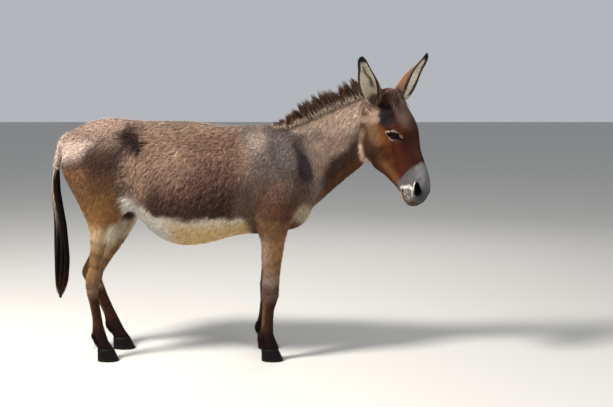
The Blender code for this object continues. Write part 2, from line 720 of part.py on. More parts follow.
# x, z, half width fore and aft, half width across
TAIL = [
    (-0.812, 1.078, 0.028, 0.030),
    (-0.842, 1.064, 0.027, 0.030),
    (-0.864, 1.028, 0.021, 0.027),
    (-0.880, 0.980, 0.018, 0.024),
    (-0.893, 0.920, 0.018, 0.023),
    (-0.897, 0.870, 0.017, 0.022),
    (-0.897, 0.820, 0.017, 0.022),
    (-0.890, 0.740, 0.020, 0.026),
    (-0.880, 0.650, 0.025, 0.032),
    (-0.877, 0.560, 0.030, 0.037),
    (-0.876, 0.470, 0.033, 0.038),
    (-0.880, 0.380, 0.031, 0.034),
    (-0.886, 0.320, 0.024, 0.026),
    (-0.890, 0.286, 0.010, 0.011),
]
HAIR_STARTS = 0.884  # height where the long tail hair begins


def tail_mesh():
    """A hanging tube: the dock, then the switch of long hair, which swells in soft locks."""
    rows = catmull(TAIL, 2)
    rings = []
    for i, (x, z, fore, across) in enumerate(rows):
        ahead, behind = rows[min(i + 1, len(rows) - 1)], rows[max(i - 1, 0)]
        down = Vector((ahead[0] - behind[0], 0, ahead[1] - behind[1])).normalized()
        front = Vector((-down.z, 0, down.x))
        folds = 0.06 if z < HAIR_STARTS else 0
        rings.append([])
        for t in np.linspace(0, 2 * math.pi, 10, endpoint=False):
            rib = 1 + folds * math.cos(2 * t + i * 0.3)
            outwards = front * fore * math.cos(t) + Vector((0, across * math.sin(t), 0))
            rings[-1].append(Vector((x, 0, z)) + outwards * rib)
    return loft("tail", rings)


def section_at(stations, height):
    rows = catmull(stations, 8)
    nearest = min(rows, key=lambda row: abs(row[0] - height))
    return nearest[1], nearest[2], nearest[3]


def hoof_mesh(name, stations, sole, y):
    """A small upright hoof: rounded toe, narrow heels, a band at the coronet and a flat sole."""
    back, front, half = section_at(stations, CORONET)
    top = CORONET - GAP
    levels = [
        (0.000, sole[0] + 0.003, sole[1] - 0.004, HOOF_HALF_WIDTH - 0.003),
        (0.003, sole[0], sole[1], HOOF_HALF_WIDTH),
        (0.030, (sole[0] * 0.55 + back * 0.45), (sole[1] * 0.52 + front * 0.48), HOOF_HALF_WIDTH - 0.002),
        (top - 0.007, back - 0.001, front + 0.003, half + 0.003),
        (top, back + 0.002, front - 0.001, half - 0.001),
    ]
    rings = []
    for z, heel, toe, wide in levels:
        middle, reach = (heel + toe) / 2, (toe - heel) / 2
        outline = []
        for t in np.linspace(0, 2 * math.pi, 12, endpoint=False):
            c, s = math.cos(t), math.sin(t)
            narrow = 1 - 0.16 * max(-c, 0)
            outline.append(Vector((
                middle + reach * math.copysign(abs(c) ** 0.86, c),
                y + wide * narrow * math.copysign(abs(s) ** 0.86, s),
                z,
            )))
        rings.append(outline)
    return loft(name, rings)


def inflated(mesh, amount):
    """A copy pushed out along its normals, for cutting a neighbour that rests on it."""
    copy = mesh.copy()
    set_points(copy, points_of(copy) + normals_of(copy) * amount)
    return copy


# ---------------------------------------------------------------- materials and the finished scene
def material(slot):
    made = bpy.data.materials.get(slot)
    if made is None:
        colour, roughness = COATS[slot]
        made = bpy.data.materials.new(slot)
        made.use_nodes = True
        shader = made.node_tree.nodes["Principled BSDF"]
        shader.inputs["Base Color"].default_value = (*colour, 1)
        shader.inputs["Roughness"].default_value = roughness
        made.diffuse_color = (*colour, 1)
    return made


def piece(name, mesh, slot):
    mesh.name = name
    mesh.materials.clear()
    mesh.materials.append(material(slot))
    mesh.shade_smooth()
    mesh.set_sharp_from_angle(angle=math.radians(50))
    return linked(name, mesh)


def flesh_labels():
    """Where each parted piece of flesh has its middle, and the coat that it wears."""
    labels = {
        "trunk": ((-0.25, 0, 0.87), "body"),
        "neck": ((0.45, -0.04, 1.03), "body"),
        "head": (tuple(in_head((0.18, 0, 0.11))), "face"),
        "muzzle": (tuple(in_head((0.455, 0, 0.07))), "muzzle"),
    }
    for side, sign in (("right", -1), ("left", 1)):
        y = sign * LIMB_OUT
        hock_x, _ = HOCK[side]
        labels[f"foreleg_{side}_upper"] = ((0.155, y, 0.47), "leg")
        labels[f"foreleg_{side}_lower"] = ((0.135, y, 0.19), "stocking")
        labels[f"hindleg_{side}_upper"] = ((-0.690, y, 0.50), "leg")
        labels[f"hindleg_{side}_lower"] = ((hock_x + 0.04, y, 0.20), "stocking")
        labels[f"waste_fore_{side}"] = ((0.150, y, 0.05), None)
        labels[f"waste_hind_{side}"] = (((-0.645 if side == "right" else -0.61), y, 0.05), None)
    return labels


def parting_slabs():
    """The thin cuts: neck, head, muzzle, then each leg at its top, its middle and its hoof."""
    muzzle = HEAD_SPACE.to_3x3() @ Vector((1.0, 0, 0.45))
    slabs = [
        slab_mesh((0.300, -0.005, 0.950), (0.97, 0.00, 0.24), 0.30, 0.30),
        slab_mesh((0.648, -0.090, 1.120), (0.93, -0.32, -0.18), 0.22, 0.20),
        slab_mesh(in_head((0.372, 0, 0.08)), muzzle, 0.16, 0.12),
    ]
    for side, y in (("right", -LIMB_OUT), ("left", LIMB_OUT)):
        hock_x, hock_z = HOCK[side]
        wide = LIMB_OUT - 0.003
        slabs.append(slab_mesh((0.165, y, 0.612), (-0.10, 0, 1), 0.125, wide))
        slabs.append(slab_mesh((0.150, y, 0.320), (0, 0, 1), 0.080, wide))
        slabs.append(slab_mesh((-0.625, y, 0.672), (0.28, 0, 1), 0.150, wide))
        slabs.append(slab_mesh((hock_x, y, hock_z), (0, 0, 1), 0.080, wide))
        slabs.append(slab_mesh((0.150, y, CORONET), (0, 0, 1), 0.090, wide))
        slabs.append(slab_mesh((-0.630, y, CORONET), (0, 0, 1), 0.110, wide))
    return slabs


def build_flesh():
    whole = thinned(flesh_mesh())
    eyes = eye_centres(whole)
    whole = carved_head(whole, eyes)
    outer = inflated(whole, GAP)
    for slab in parting_slabs():
        whole = boolean(whole, slab)
    labels = flesh_labels()
    for part in loose_parts(whole):
        middle = points_of(part).mean(axis=0)
        if len(part.vertices) < 12:
            continue
        name = min(labels, key=lambda n: np.linalg.norm(middle - np.array(labels[n][0])))
        slot = labels[name][1]
        if slot is not None:
            piece(name, part, slot)
    for side, centre in eyes.items():
        name = "eye_right" if side > 0 else "eye_left"
        piece(name, ball_mesh(in_head(centre), EYE_RADIUS), "eye")
    return outer


def build_donkey():
    clear_scene()
    outer = build_flesh()
    for side, sign in (("right", -1), ("left", 1)):
        y = sign * LIMB_OUT
        hind = HINDLEG_RIGHT if side == "right" else HINDLEG_LEFT
        fore = FORELEG if side == "right" else moved_back(FORELEG)
        piece(f"hoof_front_{side}", hoof_mesh("hoof", fore, SOLES[f"front_{side}"], y), "horn")
        piece(f"hoof_hind_{side}", hoof_mesh("hoof", hind, SOLES[f"hind_{side}"], y), "horn")
    ears = {side: boolean(ear_mesh(side), outer.copy()) for side in EARS}
    mane = boolean(mane_mesh(), outer.copy())
    for side, ear in ears.items():
        mane = boolean(mane, inflated(ear, GAP))
        piece(f"ear_{side}", largest_shell(ear), "ear")
    piece("mane", largest_shell(mane), "mane")
    tail = boolean(tail_mesh(), outer.copy())
    tail = boolean(tail, slab_mesh((-0.896, 0, HAIR_STARTS), (0, 0, 1), 0.06, 0.06))
    dock, hair = sorted(loose_parts(tail), key=lambda part: -points_of(part)[:, 2].max())[:2]
    piece("tail_dock", dock, "body")
    piece("tail_hair", hair, "tail_hair")
    stand_at_origin()


def stand_at_origin():
    """Moves everything so that the origin is under the middle of the whole, on the floor."""
    corners = np.vstack([points_of(obj.data) for obj in bpy.data.objects if obj.type == "MESH"])
    low, high = corners.min(axis=0), corners.max(axis=0)
    shift = Vector((-(low[0] + high[0]) / 2, -(low[1] + high[1]) / 2, -low[2]))
    for obj in bpy.data.objects:
        obj.data.transform(Matrix.Translation(shift))


build_donkey()
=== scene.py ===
import bpy
import bmesh
import math
import numpy as np
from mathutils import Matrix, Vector
from mathutils.bvhtree import BVHTree
from mathutils.kdtree import KDTree


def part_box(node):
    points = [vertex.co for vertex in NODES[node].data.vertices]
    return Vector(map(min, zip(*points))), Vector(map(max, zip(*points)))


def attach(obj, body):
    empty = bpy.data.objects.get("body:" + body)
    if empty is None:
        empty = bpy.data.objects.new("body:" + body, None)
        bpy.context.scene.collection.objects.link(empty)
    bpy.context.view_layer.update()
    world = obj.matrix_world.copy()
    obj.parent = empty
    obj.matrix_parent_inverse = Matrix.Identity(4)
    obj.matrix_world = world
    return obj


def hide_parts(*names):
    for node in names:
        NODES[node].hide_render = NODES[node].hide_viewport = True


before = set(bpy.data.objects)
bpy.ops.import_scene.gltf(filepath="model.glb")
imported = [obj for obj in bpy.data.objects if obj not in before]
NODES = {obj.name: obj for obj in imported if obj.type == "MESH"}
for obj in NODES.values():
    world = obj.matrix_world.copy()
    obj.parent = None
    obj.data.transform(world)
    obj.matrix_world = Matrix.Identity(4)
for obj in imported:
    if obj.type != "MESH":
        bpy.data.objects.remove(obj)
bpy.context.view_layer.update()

# ---------------------------------------------------------------- sizes, in metres
VOXEL = 0.0066  # grain of the skin
POLL = np.array((0.7557, -0.1029, 1.293))  # top of the skull
YAW, DROOP = math.radians(30.5), math.radians(68.4)
EYE_BALL = 0.0245
EYE_HALF = (0.0265, 0.0102)  # half the opening between the lids
EYE_TILT = math.radians(48)
EAR_LENGTH = 0.260
MIDDLE_Y = 0.0081  # the body's middle plane, sideways
LIMB_OUT = 0.118  # from there to the middle of a leg
FETLOCK_AT = 0.118  # height of the fetlock
HEAD_FROM = 0.64  # the head's fine mesh begins here, fore and aft
LEGS_APART = -0.2  # fore legs stand before this, hind legs behind it
FLANK = (-0.42, 0.02)  # the coat of the trunk is parted here, fore and aft
TUFT_PATCH = 0.003  # size of a tuft on the OFBake map

FLESH = [
    "trunk", "neck", "head", "muzzle", "tail_dock",
    "foreleg_right_upper", "foreleg_left_upper", "foreleg_right_lower", "foreleg_left_lower",
    "hindleg_right_upper", "hindleg_left_upper", "hindleg_right_lower", "hindleg_left_lower",
]
EARS = {
    "right": ((0.015, 0.072, 0.098), (-0.0685, -0.1315, 0.2176), (-0.52, -0.85, 0.00)),
    "left": ((0.018, -0.070, 0.040), (0.139, 0.035, 0.221), (0.88, -0.44, -0.15)),
}
EAR_FRONT = {"right": 1, "left": -1}  # which rim is the front one
FUR_DEPTH = {  # how deep the skin lies under the solids
    "trunk": 0.0100, "neck": 0.0085, "head": 0.0034, "muzzle": 0.0020, "tail_dock": 0.0045,
    "fore_upper": 0.0050, "fore_lower": 0.0024, "hind_upper": 0.0070, "hind_lower": 0.0028,
}
# share of the length, radius, half angle of the curl in degrees, back of the shell behind the axis
EAR_SECTIONS = [
    (-0.14, 0.0080, 150, 0.032), (-0.05, 0.0220, 150, 0.036), (0.00, 0.0300, 146, 0.036),
    (0.11, 0.0410, 134, 0.040), (0.25, 0.0490, 116, 0.043), (0.41, 0.0510, 98, 0.037),
    (0.56, 0.0490, 78, 0.025), (0.71, 0.0440, 60, 0.012), (0.84, 0.0385, 53, 0.004),
    (0.92, 0.0325, 50, 0.002), (0.965, 0.0250, 50, 0.001), (0.990, 0.0165, 50, 0.001),
    (1.00, 0.0080, 50, 0.001),
]

# ---------------------------------------------------------------- colours, linear
def rgb(*parts):
    return np.array(parts)


DUN = rgb(0.335, 0.218, 0.155)
LOIN = rgb(0.335, 0.228, 0.162)
CROUP = rgb(0.275, 0.190, 0.148)
# pale rump: partly its own colour, partly a painted highlight
RUMP_AND_HIGHLIGHT = rgb(0.500, 0.385, 0.325)
PATCH = rgb(0.340, 0.268, 0.220)
# dark band low on the barrel: partly its own colour, partly painted shade
LOW_BAND_AND_SHADE = rgb(0.060, 0.026, 0.020)
# painted shade for the hollow before the hip
HIP_HOLLOW_SHADE = rgb(0.017, 0.008, 0.009)
SHOULDER = rgb(0.125, 0.094, 0.084)
CROSS = rgb(0.150, 0.120, 0.115)
NECK = rgb(0.375, 0.272, 0.215)
NECK_PALE = rgb(0.500, 0.375, 0.290)
BELLY = rgb(0.735, 0.520, 0.262)
BELLY_WHITE = rgb(0.860, 0.790, 0.690)
# the thigh, pale above the hock, tan, then dark, and lighter again under the croup
THIGH_PALE = rgb(0.480, 0.350, 0.210)
THIGH_TAN = rgb(0.270, 0.130, 0.045)
THIGH_DARK = rgb(0.060, 0.028, 0.019)
THIGH_TOP = rgb(0.240, 0.165, 0.125)
UPPER_ARM = rgb(0.092, 0.036, 0.022)
# painted light on the rear-facing sides of the hind thighs and on the rear of the cannons
LIT_REAR_LEG = rgb(0.345, 0.228, 0.090)
LEG = rgb(0.205, 0.104, 0.046)
LEG_PALE = rgb(0.262, 0.172, 0.120)
KNEE = rgb(0.078, 0.046, 0.036)
CANNON = rgb(0.036, 0.013, 0.007)
FETLOCK = rgb(0.012, 0.003, 0.002)
FACE = rgb(0.044, 0.010, 0.003)
# darker on the bridge of the nose: partly its own chestnut, partly painted shade
FACE_BRIDGE = rgb(0.021, 0.004, 0.003)
FOREHEAD = rgb(0.108, 0.064, 0.052)
# painted shade for the hollow before the shoulder blade
SHOULDER_HOLLOW_SHADE = rgb(0.017, 0.010, 0.017)
SHOULDER_LOW = rgb(0.125, 0.066, 0.040)
TAN = rgb(0.230, 0.135, 0.080)
FACE_ORANGE = rgb(0.125, 0.038, 0.005)
FACE_DARK = rgb(0.006, 0.003, 0.005)
CHEEK = rgb(0.052, 0.022, 0.011)
JAW_PALE = rgb(0.620, 0.430, 0.310)
JAW_DARK = rgb(0.050, 0.016, 0.006)
MUZZLE = rgb(0.126, 0.122, 0.123)
WHITE = rgb(0.620, 0.600, 0.560)
LIPS = rgb(0.100, 0.060, 0.032)
CHIN = rgb(0.430, 0.260, 0.110)
LID_EDGE = rgb(0.003, 0.002, 0.002)
LID_PALE = rgb(0.520, 0.400, 0.300)
EAR_BACK = rgb(0.430, 0.240, 0.115)
EAR_IN = rgb(0.800, 0.720, 0.580)
BLACK = rgb(0.010, 0.008, 0.008)
# painted shade inside the nostrils
NOSTRIL_SHADE = rgb(0.003, 0.002, 0.002)
# painted shade between the hind legs
GROIN_SHADE = rgb(0.050, 0.024, 0.014)
ELBOW = rgb(0.135, 0.085, 0.048)


def unit(v):
    return v / np.maximum(np.linalg.norm(v, axis=-1, keepdims=True), 1e-9)


def step(x, low, high):
    """0 below low, 1 above high (or the other way round), smooth between."""
    t = np.clip((x - low) / (high - low), 0, 1)
    return t * t * (3 - 2 * t)


def dot(a, b):
    return (a * b).sum(-1)


FORWARD = np.array((math.cos(YAW), -math.sin(YAW), 0.0))
RIGHT = np.array((-math.sin(YAW), -math.cos(YAW), 0.0))
UP = np.array((0.0, 0.0, 1.0))
ALONG = FORWARD * math.cos(DROOP) - UP * math.sin(DROOP)
BELOW = -(FORWARD * math.sin(DROOP) + UP * math.cos(DROOP))


def to_head(p):
    """Along the face from the poll, to the animal's right, and below the face line."""
    q = p - POLL
    return np.stack([q @ ALONG, q @ RIGHT, q @ BELOW], -1)


def from_head(h):
    h = np.asarray(h, float)
    return POLL + h[..., :1] * ALONG + h[..., 1:2] * RIGHT + h[..., 2:3] * BELOW


def folded(p):
    """As to_head, with the left side laid over the right."""
    return to_head(p) * [1, 0, 1] + np.abs(to_head(p)) * [0, 1, 0]


def bell(x, middle, width):
    """1 in the middle, falling smoothly to 0 on both sides."""
    return np.exp(-((x - middle) / width) ** 2)


def blob(p, centre, radii):
    """1 in the middle of an ellipsoid, falling smoothly to 0. None is any place along that axis."""
    total = 0
    for k in range(3):
        if centre[k] is not None:
            total = total + ((p[:, k] - centre[k]) / radii[k]) ** 2
    return np.exp(-total)


def mix(a, b, w):
    """Colour a, covered by colour b as far as w says at each point."""
    w = np.asarray(w)[..., None]
    return a * (1 - w) + b * w


def layered(colour, layers):
    """A colour, covered by one layer after another, each a colour and how far it covers."""
    for over, share in layers:
        colour = mix(colour, over, share)
    return colour


def wave(p, scale, seed):
    """Smooth noise from a few turned sine waves, about -1 to 1."""
    g = np.random.default_rng(seed)
    total = np.zeros(len(p))
    for k in range(7):
        d = unit(g.normal(size=3))
        total += np.sin(p @ d * scale * (0.7 + 0.9 * g.random()) * 2 * math.pi + g.random() * 6.3)
    return total / 3.2


# ---------------------------------------------------------------- meshes
def points_of(mesh):
    co = np.empty(len(mesh.vertices) * 3)
    mesh.vertices.foreach_get("co", co)
    return co.reshape(-1, 3)


def normals_of(mesh):
    no = np.empty(len(mesh.vertices) * 3, np.float32)
    mesh.vertices.foreach_get("normal", no)
    return no.reshape(-1, 3).astype(float)


def set_points(mesh, co):
    mesh.vertices.foreach_set("co", np.ascontiguousarray(co, np.float32).ravel())
    mesh.update()


def edges_of(mesh):
    e = np.empty(len(mesh.edges) * 2, np.int32)
    mesh.edges.foreach_get("vertices", e)
    return e.reshape(-1, 2)


def spread(values, edges, rounds, share=0.5):
    """Averages values over neighbours, some rounds."""
    v = np.array(values, float)
    flat = v.ndim == 1
    if flat:
        v = v[:, None]
    n = len(v)
    degree = np.maximum(np.bincount(edges.ravel(), minlength=n), 1)[:, None]
    for _ in range(rounds):
        around = np.stack([
            np.bincount(edges[:, 0], v[edges[:, 1], k], n) + np.bincount(edges[:, 1], v[edges[:, 0], k], n)
            for k in range(v.shape[1])
        ], -1) / degree
        v = v * (1 - share) + around * share
    return v[:, 0] if flat else v


def taubin(co, edges, rounds, where=None):
    """Smooths without shrinking."""
    w = 1.0 if where is None else where[:, None]
    for _ in range(rounds):
        for share in (0.50, -0.53):
            co = co + (spread(co, edges, 1, 1.0) - co) * share * w
    return co


def make_object(name, mesh):
    obj = bpy.data.objects.new(name, mesh)
    bpy.context.scene.collection.objects.link(obj)
    return obj


def emptied(bm, grown=0.0):
    """Points, moved out along their normals, and faces of a bmesh, which is freed."""
    co = np.array([v.co + v.normal * grown for v in bm.verts])
    faces = [[v.index for v in f.verts] for f in bm.faces]
    bm.free()
    return co, faces


def welded(node, grown):
    """A CAD node's closed shell, as points and faces."""
    bm = bmesh.new()
    bm.from_mesh(NODES[node].data)
    bmesh.ops.remove_doubles(bm, verts=bm.verts, dist=1e-5)
    bm.normal_update()
    return emptied(bm, grown)


def balls(centres, radius):
    bm = bmesh.new()
    for c in centres:
        made = bmesh.ops.create_icosphere(bm, subdivisions=2, radius=radius)
        bmesh.ops.translate(bm, verts=made["verts"], vec=Vector(c))
    return emptied(bm)


def loft_faces(rings, count):
    """Quads between closed rings of `count` points, and a cap at each end."""
    faces = []
    for r in range(rings - 1):
        low, high = r * count, (r + 1) * count
        for i in range(count):
            j = (i + 1) % count
            faces.append([high + i, high + j, low + j, low + i])
    last = (rings - 1) * count
    return faces + [list(range(count)), list(range(last + count - 1, last - 1, -1))]


def remeshed(co, faces, voxel):
    """One even closed mesh round all the given shells."""
    mesh = bpy.data.meshes.new("rough")
    mesh.from_pydata(co.tolist(), [], faces)
    obj = make_object("rough", mesh)
    grain = obj.modifiers.new("grain", "REMESH")
    grain.mode, grain.voxel_size = "VOXEL", voxel
    made = bpy.data.meshes.new_from_object(obj.evaluated_get(bpy.context.evaluated_depsgraph_get()))
    bpy.data.objects.remove(obj)
    return made


# ---------------------------------------------------------------- skin
# on both flanks: from, to (fore-and-aft, 0, height), reach, how far it sinks
HOLLOWS = [
    ((-0.478, 0, 1.100), (-0.495, 0, 1.030), 0.032, 0.0090),  # before the point of the hip
    ((-0.620, 0, 1.060), (-0.760, 0, 0.930), 0.022, 0.0030),  # between the muscles of the rump
    ((0.312, 0, 1.050), (0.322, 0, 0.870), 0.024, 0.0070),  # before the shoulder blade
    ((0.168, 0, 1.090), (0.188, 0, 0.930), 0.013, 0.0030),  # behind the ridge of the blade
    ((0.030, 0, 0.990), (0.055, 0, 0.800), 0.026, 0.0050),  # behind the upper arm
    ((0.170, 0, 0.860), (0.240, 0, 0.790), 0.016, 0.0030),  # under the shoulder joint
    ((-0.700, 0, 0.900), (-0.650, 0, 0.760), 0.020, 0.0025),  # between the thigh muscles
]


# lines inside the muzzle that give the nostrils and the lips their flesh
NOSTRIL_FLESH = [
    (.418, .040, .028), (.432, .040, .031), (.450, .038, .037), (.468, .034, .041), (.484, .032, .043),
]
LIP_FLESH = [
    (.430, .036, .121), (.450, .038, .124), (.472, .038, .126), (.495, .034, .124), (.512, .026, .118),
]


def rough_skin():
    """The solids of flesh, and some filling, under one even skin."""
    points, faces, labels = [], [], []

    def add(co, own):
        base = sum(len(p) for p in points)
        points.append(co)
        faces.extend([i + base for i in face] for face in own)

    for k, name in enumerate(FLESH):
        co, own = welded(name, 0.0006)
        add(co, own)
        labels += [k] * len(own)
    flesh_tree = BVHTree.FromPolygons(np.vstack(points).tolist(), faces)
    add(*welded("eye_right", 0.004))
    add(*welded("eye_left", 0.004))
    for side in (1, -1):
        add(*balls(from_head([(s, side * y, d) for s, y, d in NOSTRIL_FLESH]), 0.0145))
        add(*balls(from_head([(s, side * y * .8, d) for s, y, d in LIP_FLESH]), 0.011))
    return largest_part(remeshed(np.vstack(points), faces, VOXEL)), flesh_tree, np.array(labels)


def largest_part(mesh):
    """Keeps only the largest connected part of a mesh."""
    bm = bmesh.new()
    bm.from_mesh(mesh)
    bm.verts.ensure_lookup_table()
    seen, best = set(), []
    for v in bm.verts:
        if v.index in seen:
            continue
        group, todo = [], [v]
        seen.add(v.index)
        while todo:
            at = todo.pop()
            group.append(at)
            for e in at.link_edges:
                o = e.other_vert(at)
                if o.index not in seen:
                    seen.add(o.index)
                    todo.append(o)
        if len(group) > len(best):
            best = group
        if len(best) > len(bm.verts) / 2:
            break
    keep = set(v.index for v in best)
    bmesh.ops.delete(bm, geom=[v for v in bm.verts if v.index not in keep], context="VERTS")
    bm.to_mesh(mesh)
    bm.free()
    return mesh


def subdivided(mesh, inside):
    """Splits the faces whose points are all inside."""
    bm = bmesh.new()
    bm.from_mesh(mesh)
    bm.verts.ensure_lookup_table()
    faces = [f for f in bm.faces if all(inside[v.index] for v in f.verts)]
    edges = list({e for f in faces for e in f.edges})
    bmesh.ops.subdivide_edges(bm, edges=edges, cuts=1, use_grid_fill=True)
    bm.to_mesh(mesh)
    bm.free()


def eye_frame(co, normals, side):
    """Middle, long axis (towards the nose), up and out of one eye."""
    lo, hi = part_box("eye_right" if side > 0 else "eye_left")
    centre = np.array((lo + hi) / 2)
    near = np.linalg.norm(co - centre, axis=1) < 0.040
    out = unit(normals[near].mean(0))
    long_axis = ALONG * math.cos(EYE_TILT) - BELOW * math.sin(EYE_TILT)
    long_axis = unit(long_axis - out * dot(long_axis, out))
    rise = np.cross(out, long_axis)
    if rise @ -BELOW < 0:
        rise = -rise
    return centre - out * (EYE_BALL - 0.0222), long_axis, rise, out


def eye_height(a, b):
    return np.sqrt(np.maximum(EYE_BALL ** 2 - a * a - b * b, 0))


def sculpt_eye(co, frame_of_eye):
    """Opens the lids over the ball, as heights over the eye's own plane."""
    centre, along, rise, out = frame_of_eye
    q = co - centre
    a, b, c = q @ along, q @ rise, q @ out
    reach = np.sqrt(a * a + b * b)
    near = (reach < 0.056) & (c > -0.012)
    half_a, half_b = EYE_HALF
    shift = a / half_a
    # the upper lid arches more than the lower one, and its peak lies towards the nose
    arch = np.clip(1 - np.abs(shift) ** 1.9, 0, 1) ** 0.80
    edge = np.where(b > 0.0012 * shift, half_b * 1.12, half_b * 0.88) * arch + 0.0006
    past = np.maximum(np.abs(shift) - 1, 0) * half_a
    gap = np.where(past > 0, np.hypot(past, np.abs(b)), np.abs(b - 0.0016 * shift) - edge)
    ball = eye_height(np.clip(a, -0.0185, 0.0185), np.clip(b, -0.0130, 0.0130))
    lid = ball + 0.0022 + 0.0007 * bell(gap, 0.0018, 0.0016)
    lid = lid - 0.0016 * bell(gap, 0.0062, 0.0016) * (b > 0)
    lid = lid - 0.0011 * bell(gap, 0.0105, 0.0018) * (b > 0)
    lid = lid - 0.0010 * bell(gap, 0.0060, 0.0020) * (b <= 0)
    outside = step(gap, 0.0115, 0.0300)
    target = lid * (1 - outside) + c * outside
    inner = step(gap, -0.0001, -0.0010)
    target = target * (1 - inner) + (eye_height(a, b) - 0.0060) * inner
    target = np.where(near, target, c)
    return co + out * (target - c)[:, None], np.where(near, gap, 1.0), b


def path_distance(p, path):
    """Distance to a line of points and how far along it, 0 to 1."""
    path = np.asarray(path, float)
    best, where = np.full(len(p), 1e9), np.zeros(len(p))
    for k in range(len(path) - 1):
        a, d = path[k], path[k + 1] - path[k]
        t = np.clip(((p - a) @ d) / (d @ d), 0, 1)
        r = np.linalg.norm(p - a - t[:, None] * d, axis=1)
        closer = r < best
        best[closer], where[closer] = r[closer], (k + t[closer]) / (len(path) - 1)
    return best, where


NOSTRIL = [(.421, .044, .031), (.432, .043, .036), (.445, .043, .041), (.464, .045, .046), (.480, .047, .049)]


def nostril_width(t):
    return np.interp(t, [0, 0.25, 0.5, 0.75, 1.0], [0.0030, 0.0075, 0.0125, 0.0165, 0.0160])


MOUTH = [
    (.438, .040, .121), (.456, .040, .128), (.482, .037, .130),
    (.506, .034, .122), (.522, .020, .112), (.529, 0, .107),
]


def sculpt_head(co, normals):
    """Nostrils, lips and folds."""
    mirrored = folded(co)
    out = np.zeros(len(co))
    near, t = path_distance(mirrored, NOSTRIL)
    wide = nostril_width(t)
    hole = near / wide
    out -= 0.0230 * step(hole, 1.0, 0.55)
    out += 0.0026 * bell(near - wide, 0.0032, 0.0036) * (0.25 + 0.75 * step(t, 0.05, 0.45))
    near, t = path_distance(mirrored, MOUTH)
    out -= 0.0058 * step(near, 0.0045, 0.0010)
    lip = bell(near, 0.0085, 0.0060)
    out += 0.0026 * lip * (0.4 + 0.6 * step(t, 0.0, 0.3))
    # a shallow fold behind the nostril and fine wrinkles above the mouth corner
    out -= 0.0022 * blob(mirrored, (.405, .052, .055), (.016, .030, .012))
    out -= 0.0016 * blob(mirrored, (.425, .050, .095), (.010, .030, .012))
    # the vein and the tear trough under the eye, the temple hollow and the cheek's edge
    near = path_distance(mirrored, [(.225, .09, .075), (.270, .075, .100), (.320, .062, .118)])[0]
    out += 0.0014 * bell(near, 0, 0.0045)
    near = path_distance(mirrored, [(.235, .085, .135), (.262, .080, .185), (.245, .07, .230)])[0]
    out -= 0.0026 * bell(near, 0, 0.0100)
    out -= 0.0030 * blob(mirrored, (.112, .085, .060), (.022, .03, .020))
    return co + normals * out[:, None], hole


def flesh_weights(co, edges, flesh_tree, face_label, rounds):
    """How far each point belongs to each solid of flesh."""
    label = np.array([face_label[flesh_tree.find_nearest(p)[2]] for p in co.tolist()])
    return spread(np.eye(len(FLESH))[label], edges, rounds)


def build_skin():
    """The skin, sunk by the coat's depth, with its eyes, nostrils, mouth and folds."""
    mesh, flesh_tree, face_label = rough_skin()
    co, edges = points_of(mesh), edges_of(mesh)
    co = taubin(co, edges, 6)
    set_points(mesh, co)
    weights = flesh_weights(co, edges, flesh_tree, face_label, 14)
    depth = np.zeros(len(co))
    for k, name in enumerate(FLESH):
        kind = name[:4] + "_" + name.split("_")[-1] if "leg" in name else name
        depth += weights[:, k] * FUR_DEPTH[kind]
    thin = np.maximum(step(co[:, 0], 0.00, 0.12), step(co[:, 0], -0.50, -0.62)) * weights[:, 0]
    depth *= 1 - 0.40 * thin
    depth *= 1 - 0.45 * step(co[:, 2], 0.70, 0.60) * (weights[:, 0] > 0.5)
    for start, end, reach, drop in HOLLOWS:
        depth += drop * bell(path_distance(co * [1, 0, 1], [start, end])[0], 0, reach)
    normals = spread(normals_of(mesh), edges, 3)
    co = co - unit(normals) * spread(depth, edges, 8)[:, None]
    set_points(mesh, taubin(co, edges, 2))
    # finer where there is detail
    co = points_of(mesh)
    s, side, d = to_head(co).T
    fine = (s > -0.03) & (s < 0.60) & (np.abs(side) < 0.14) & (d > -0.08) & (d < 0.30)
    fine &= co[:, 0] > HEAD_FROM
    subdivided(mesh, fine)
    smooth_where(mesh, lambda c: (to_head(c)[:, 0] > -0.03) & (c[:, 0] > HEAD_FROM), 3)
    eyes = {s: eye_frame(points_of(mesh), normals_of(mesh), s) for s in (1, -1)}

    def near_detail(c, eye, nose):
        got = np.zeros(len(c), bool)
        for s in (1, -1):
            got |= np.linalg.norm(c - (eyes[s][0] + eyes[s][3] * 0.018), axis=1) < eye
        got |= path_distance(folded(c), NOSTRIL)[0] < nose
        got |= path_distance(folded(c), MOUTH)[0] < nose * 0.8
        return got

    subdivided(mesh, near_detail(points_of(mesh), 0.040, 0.022))
    smooth_where(mesh, lambda c: near_detail(c, 0.043, 0.026), 2)
    subdivided(mesh, near_detail(points_of(mesh), 0.030, 0.012))
    smooth_where(mesh, lambda c: near_detail(c, 0.032, 0.014), 2)
    co = points_of(mesh)
    normals = unit(spread(normals_of(mesh), edges_of(mesh), 4))
    co, hole = sculpt_head(co, normals)
    gap = np.ones(len(co))
    upper = np.zeros(len(co))
    for s in (1, -1):
        co, g, b = sculpt_eye(co, eyes[s])
        upper = np.where(g < gap, b, upper)
        gap = np.minimum(gap, g)
    set_points(mesh, co)
    return mesh, flesh_tree, face_label, eyes, gap, upper, hole


def smooth_where(mesh, test, rounds):
    co, edges = points_of(mesh), edges_of(mesh)
    set_points(mesh, taubin(co, edges, rounds, test(co).astype(float)))


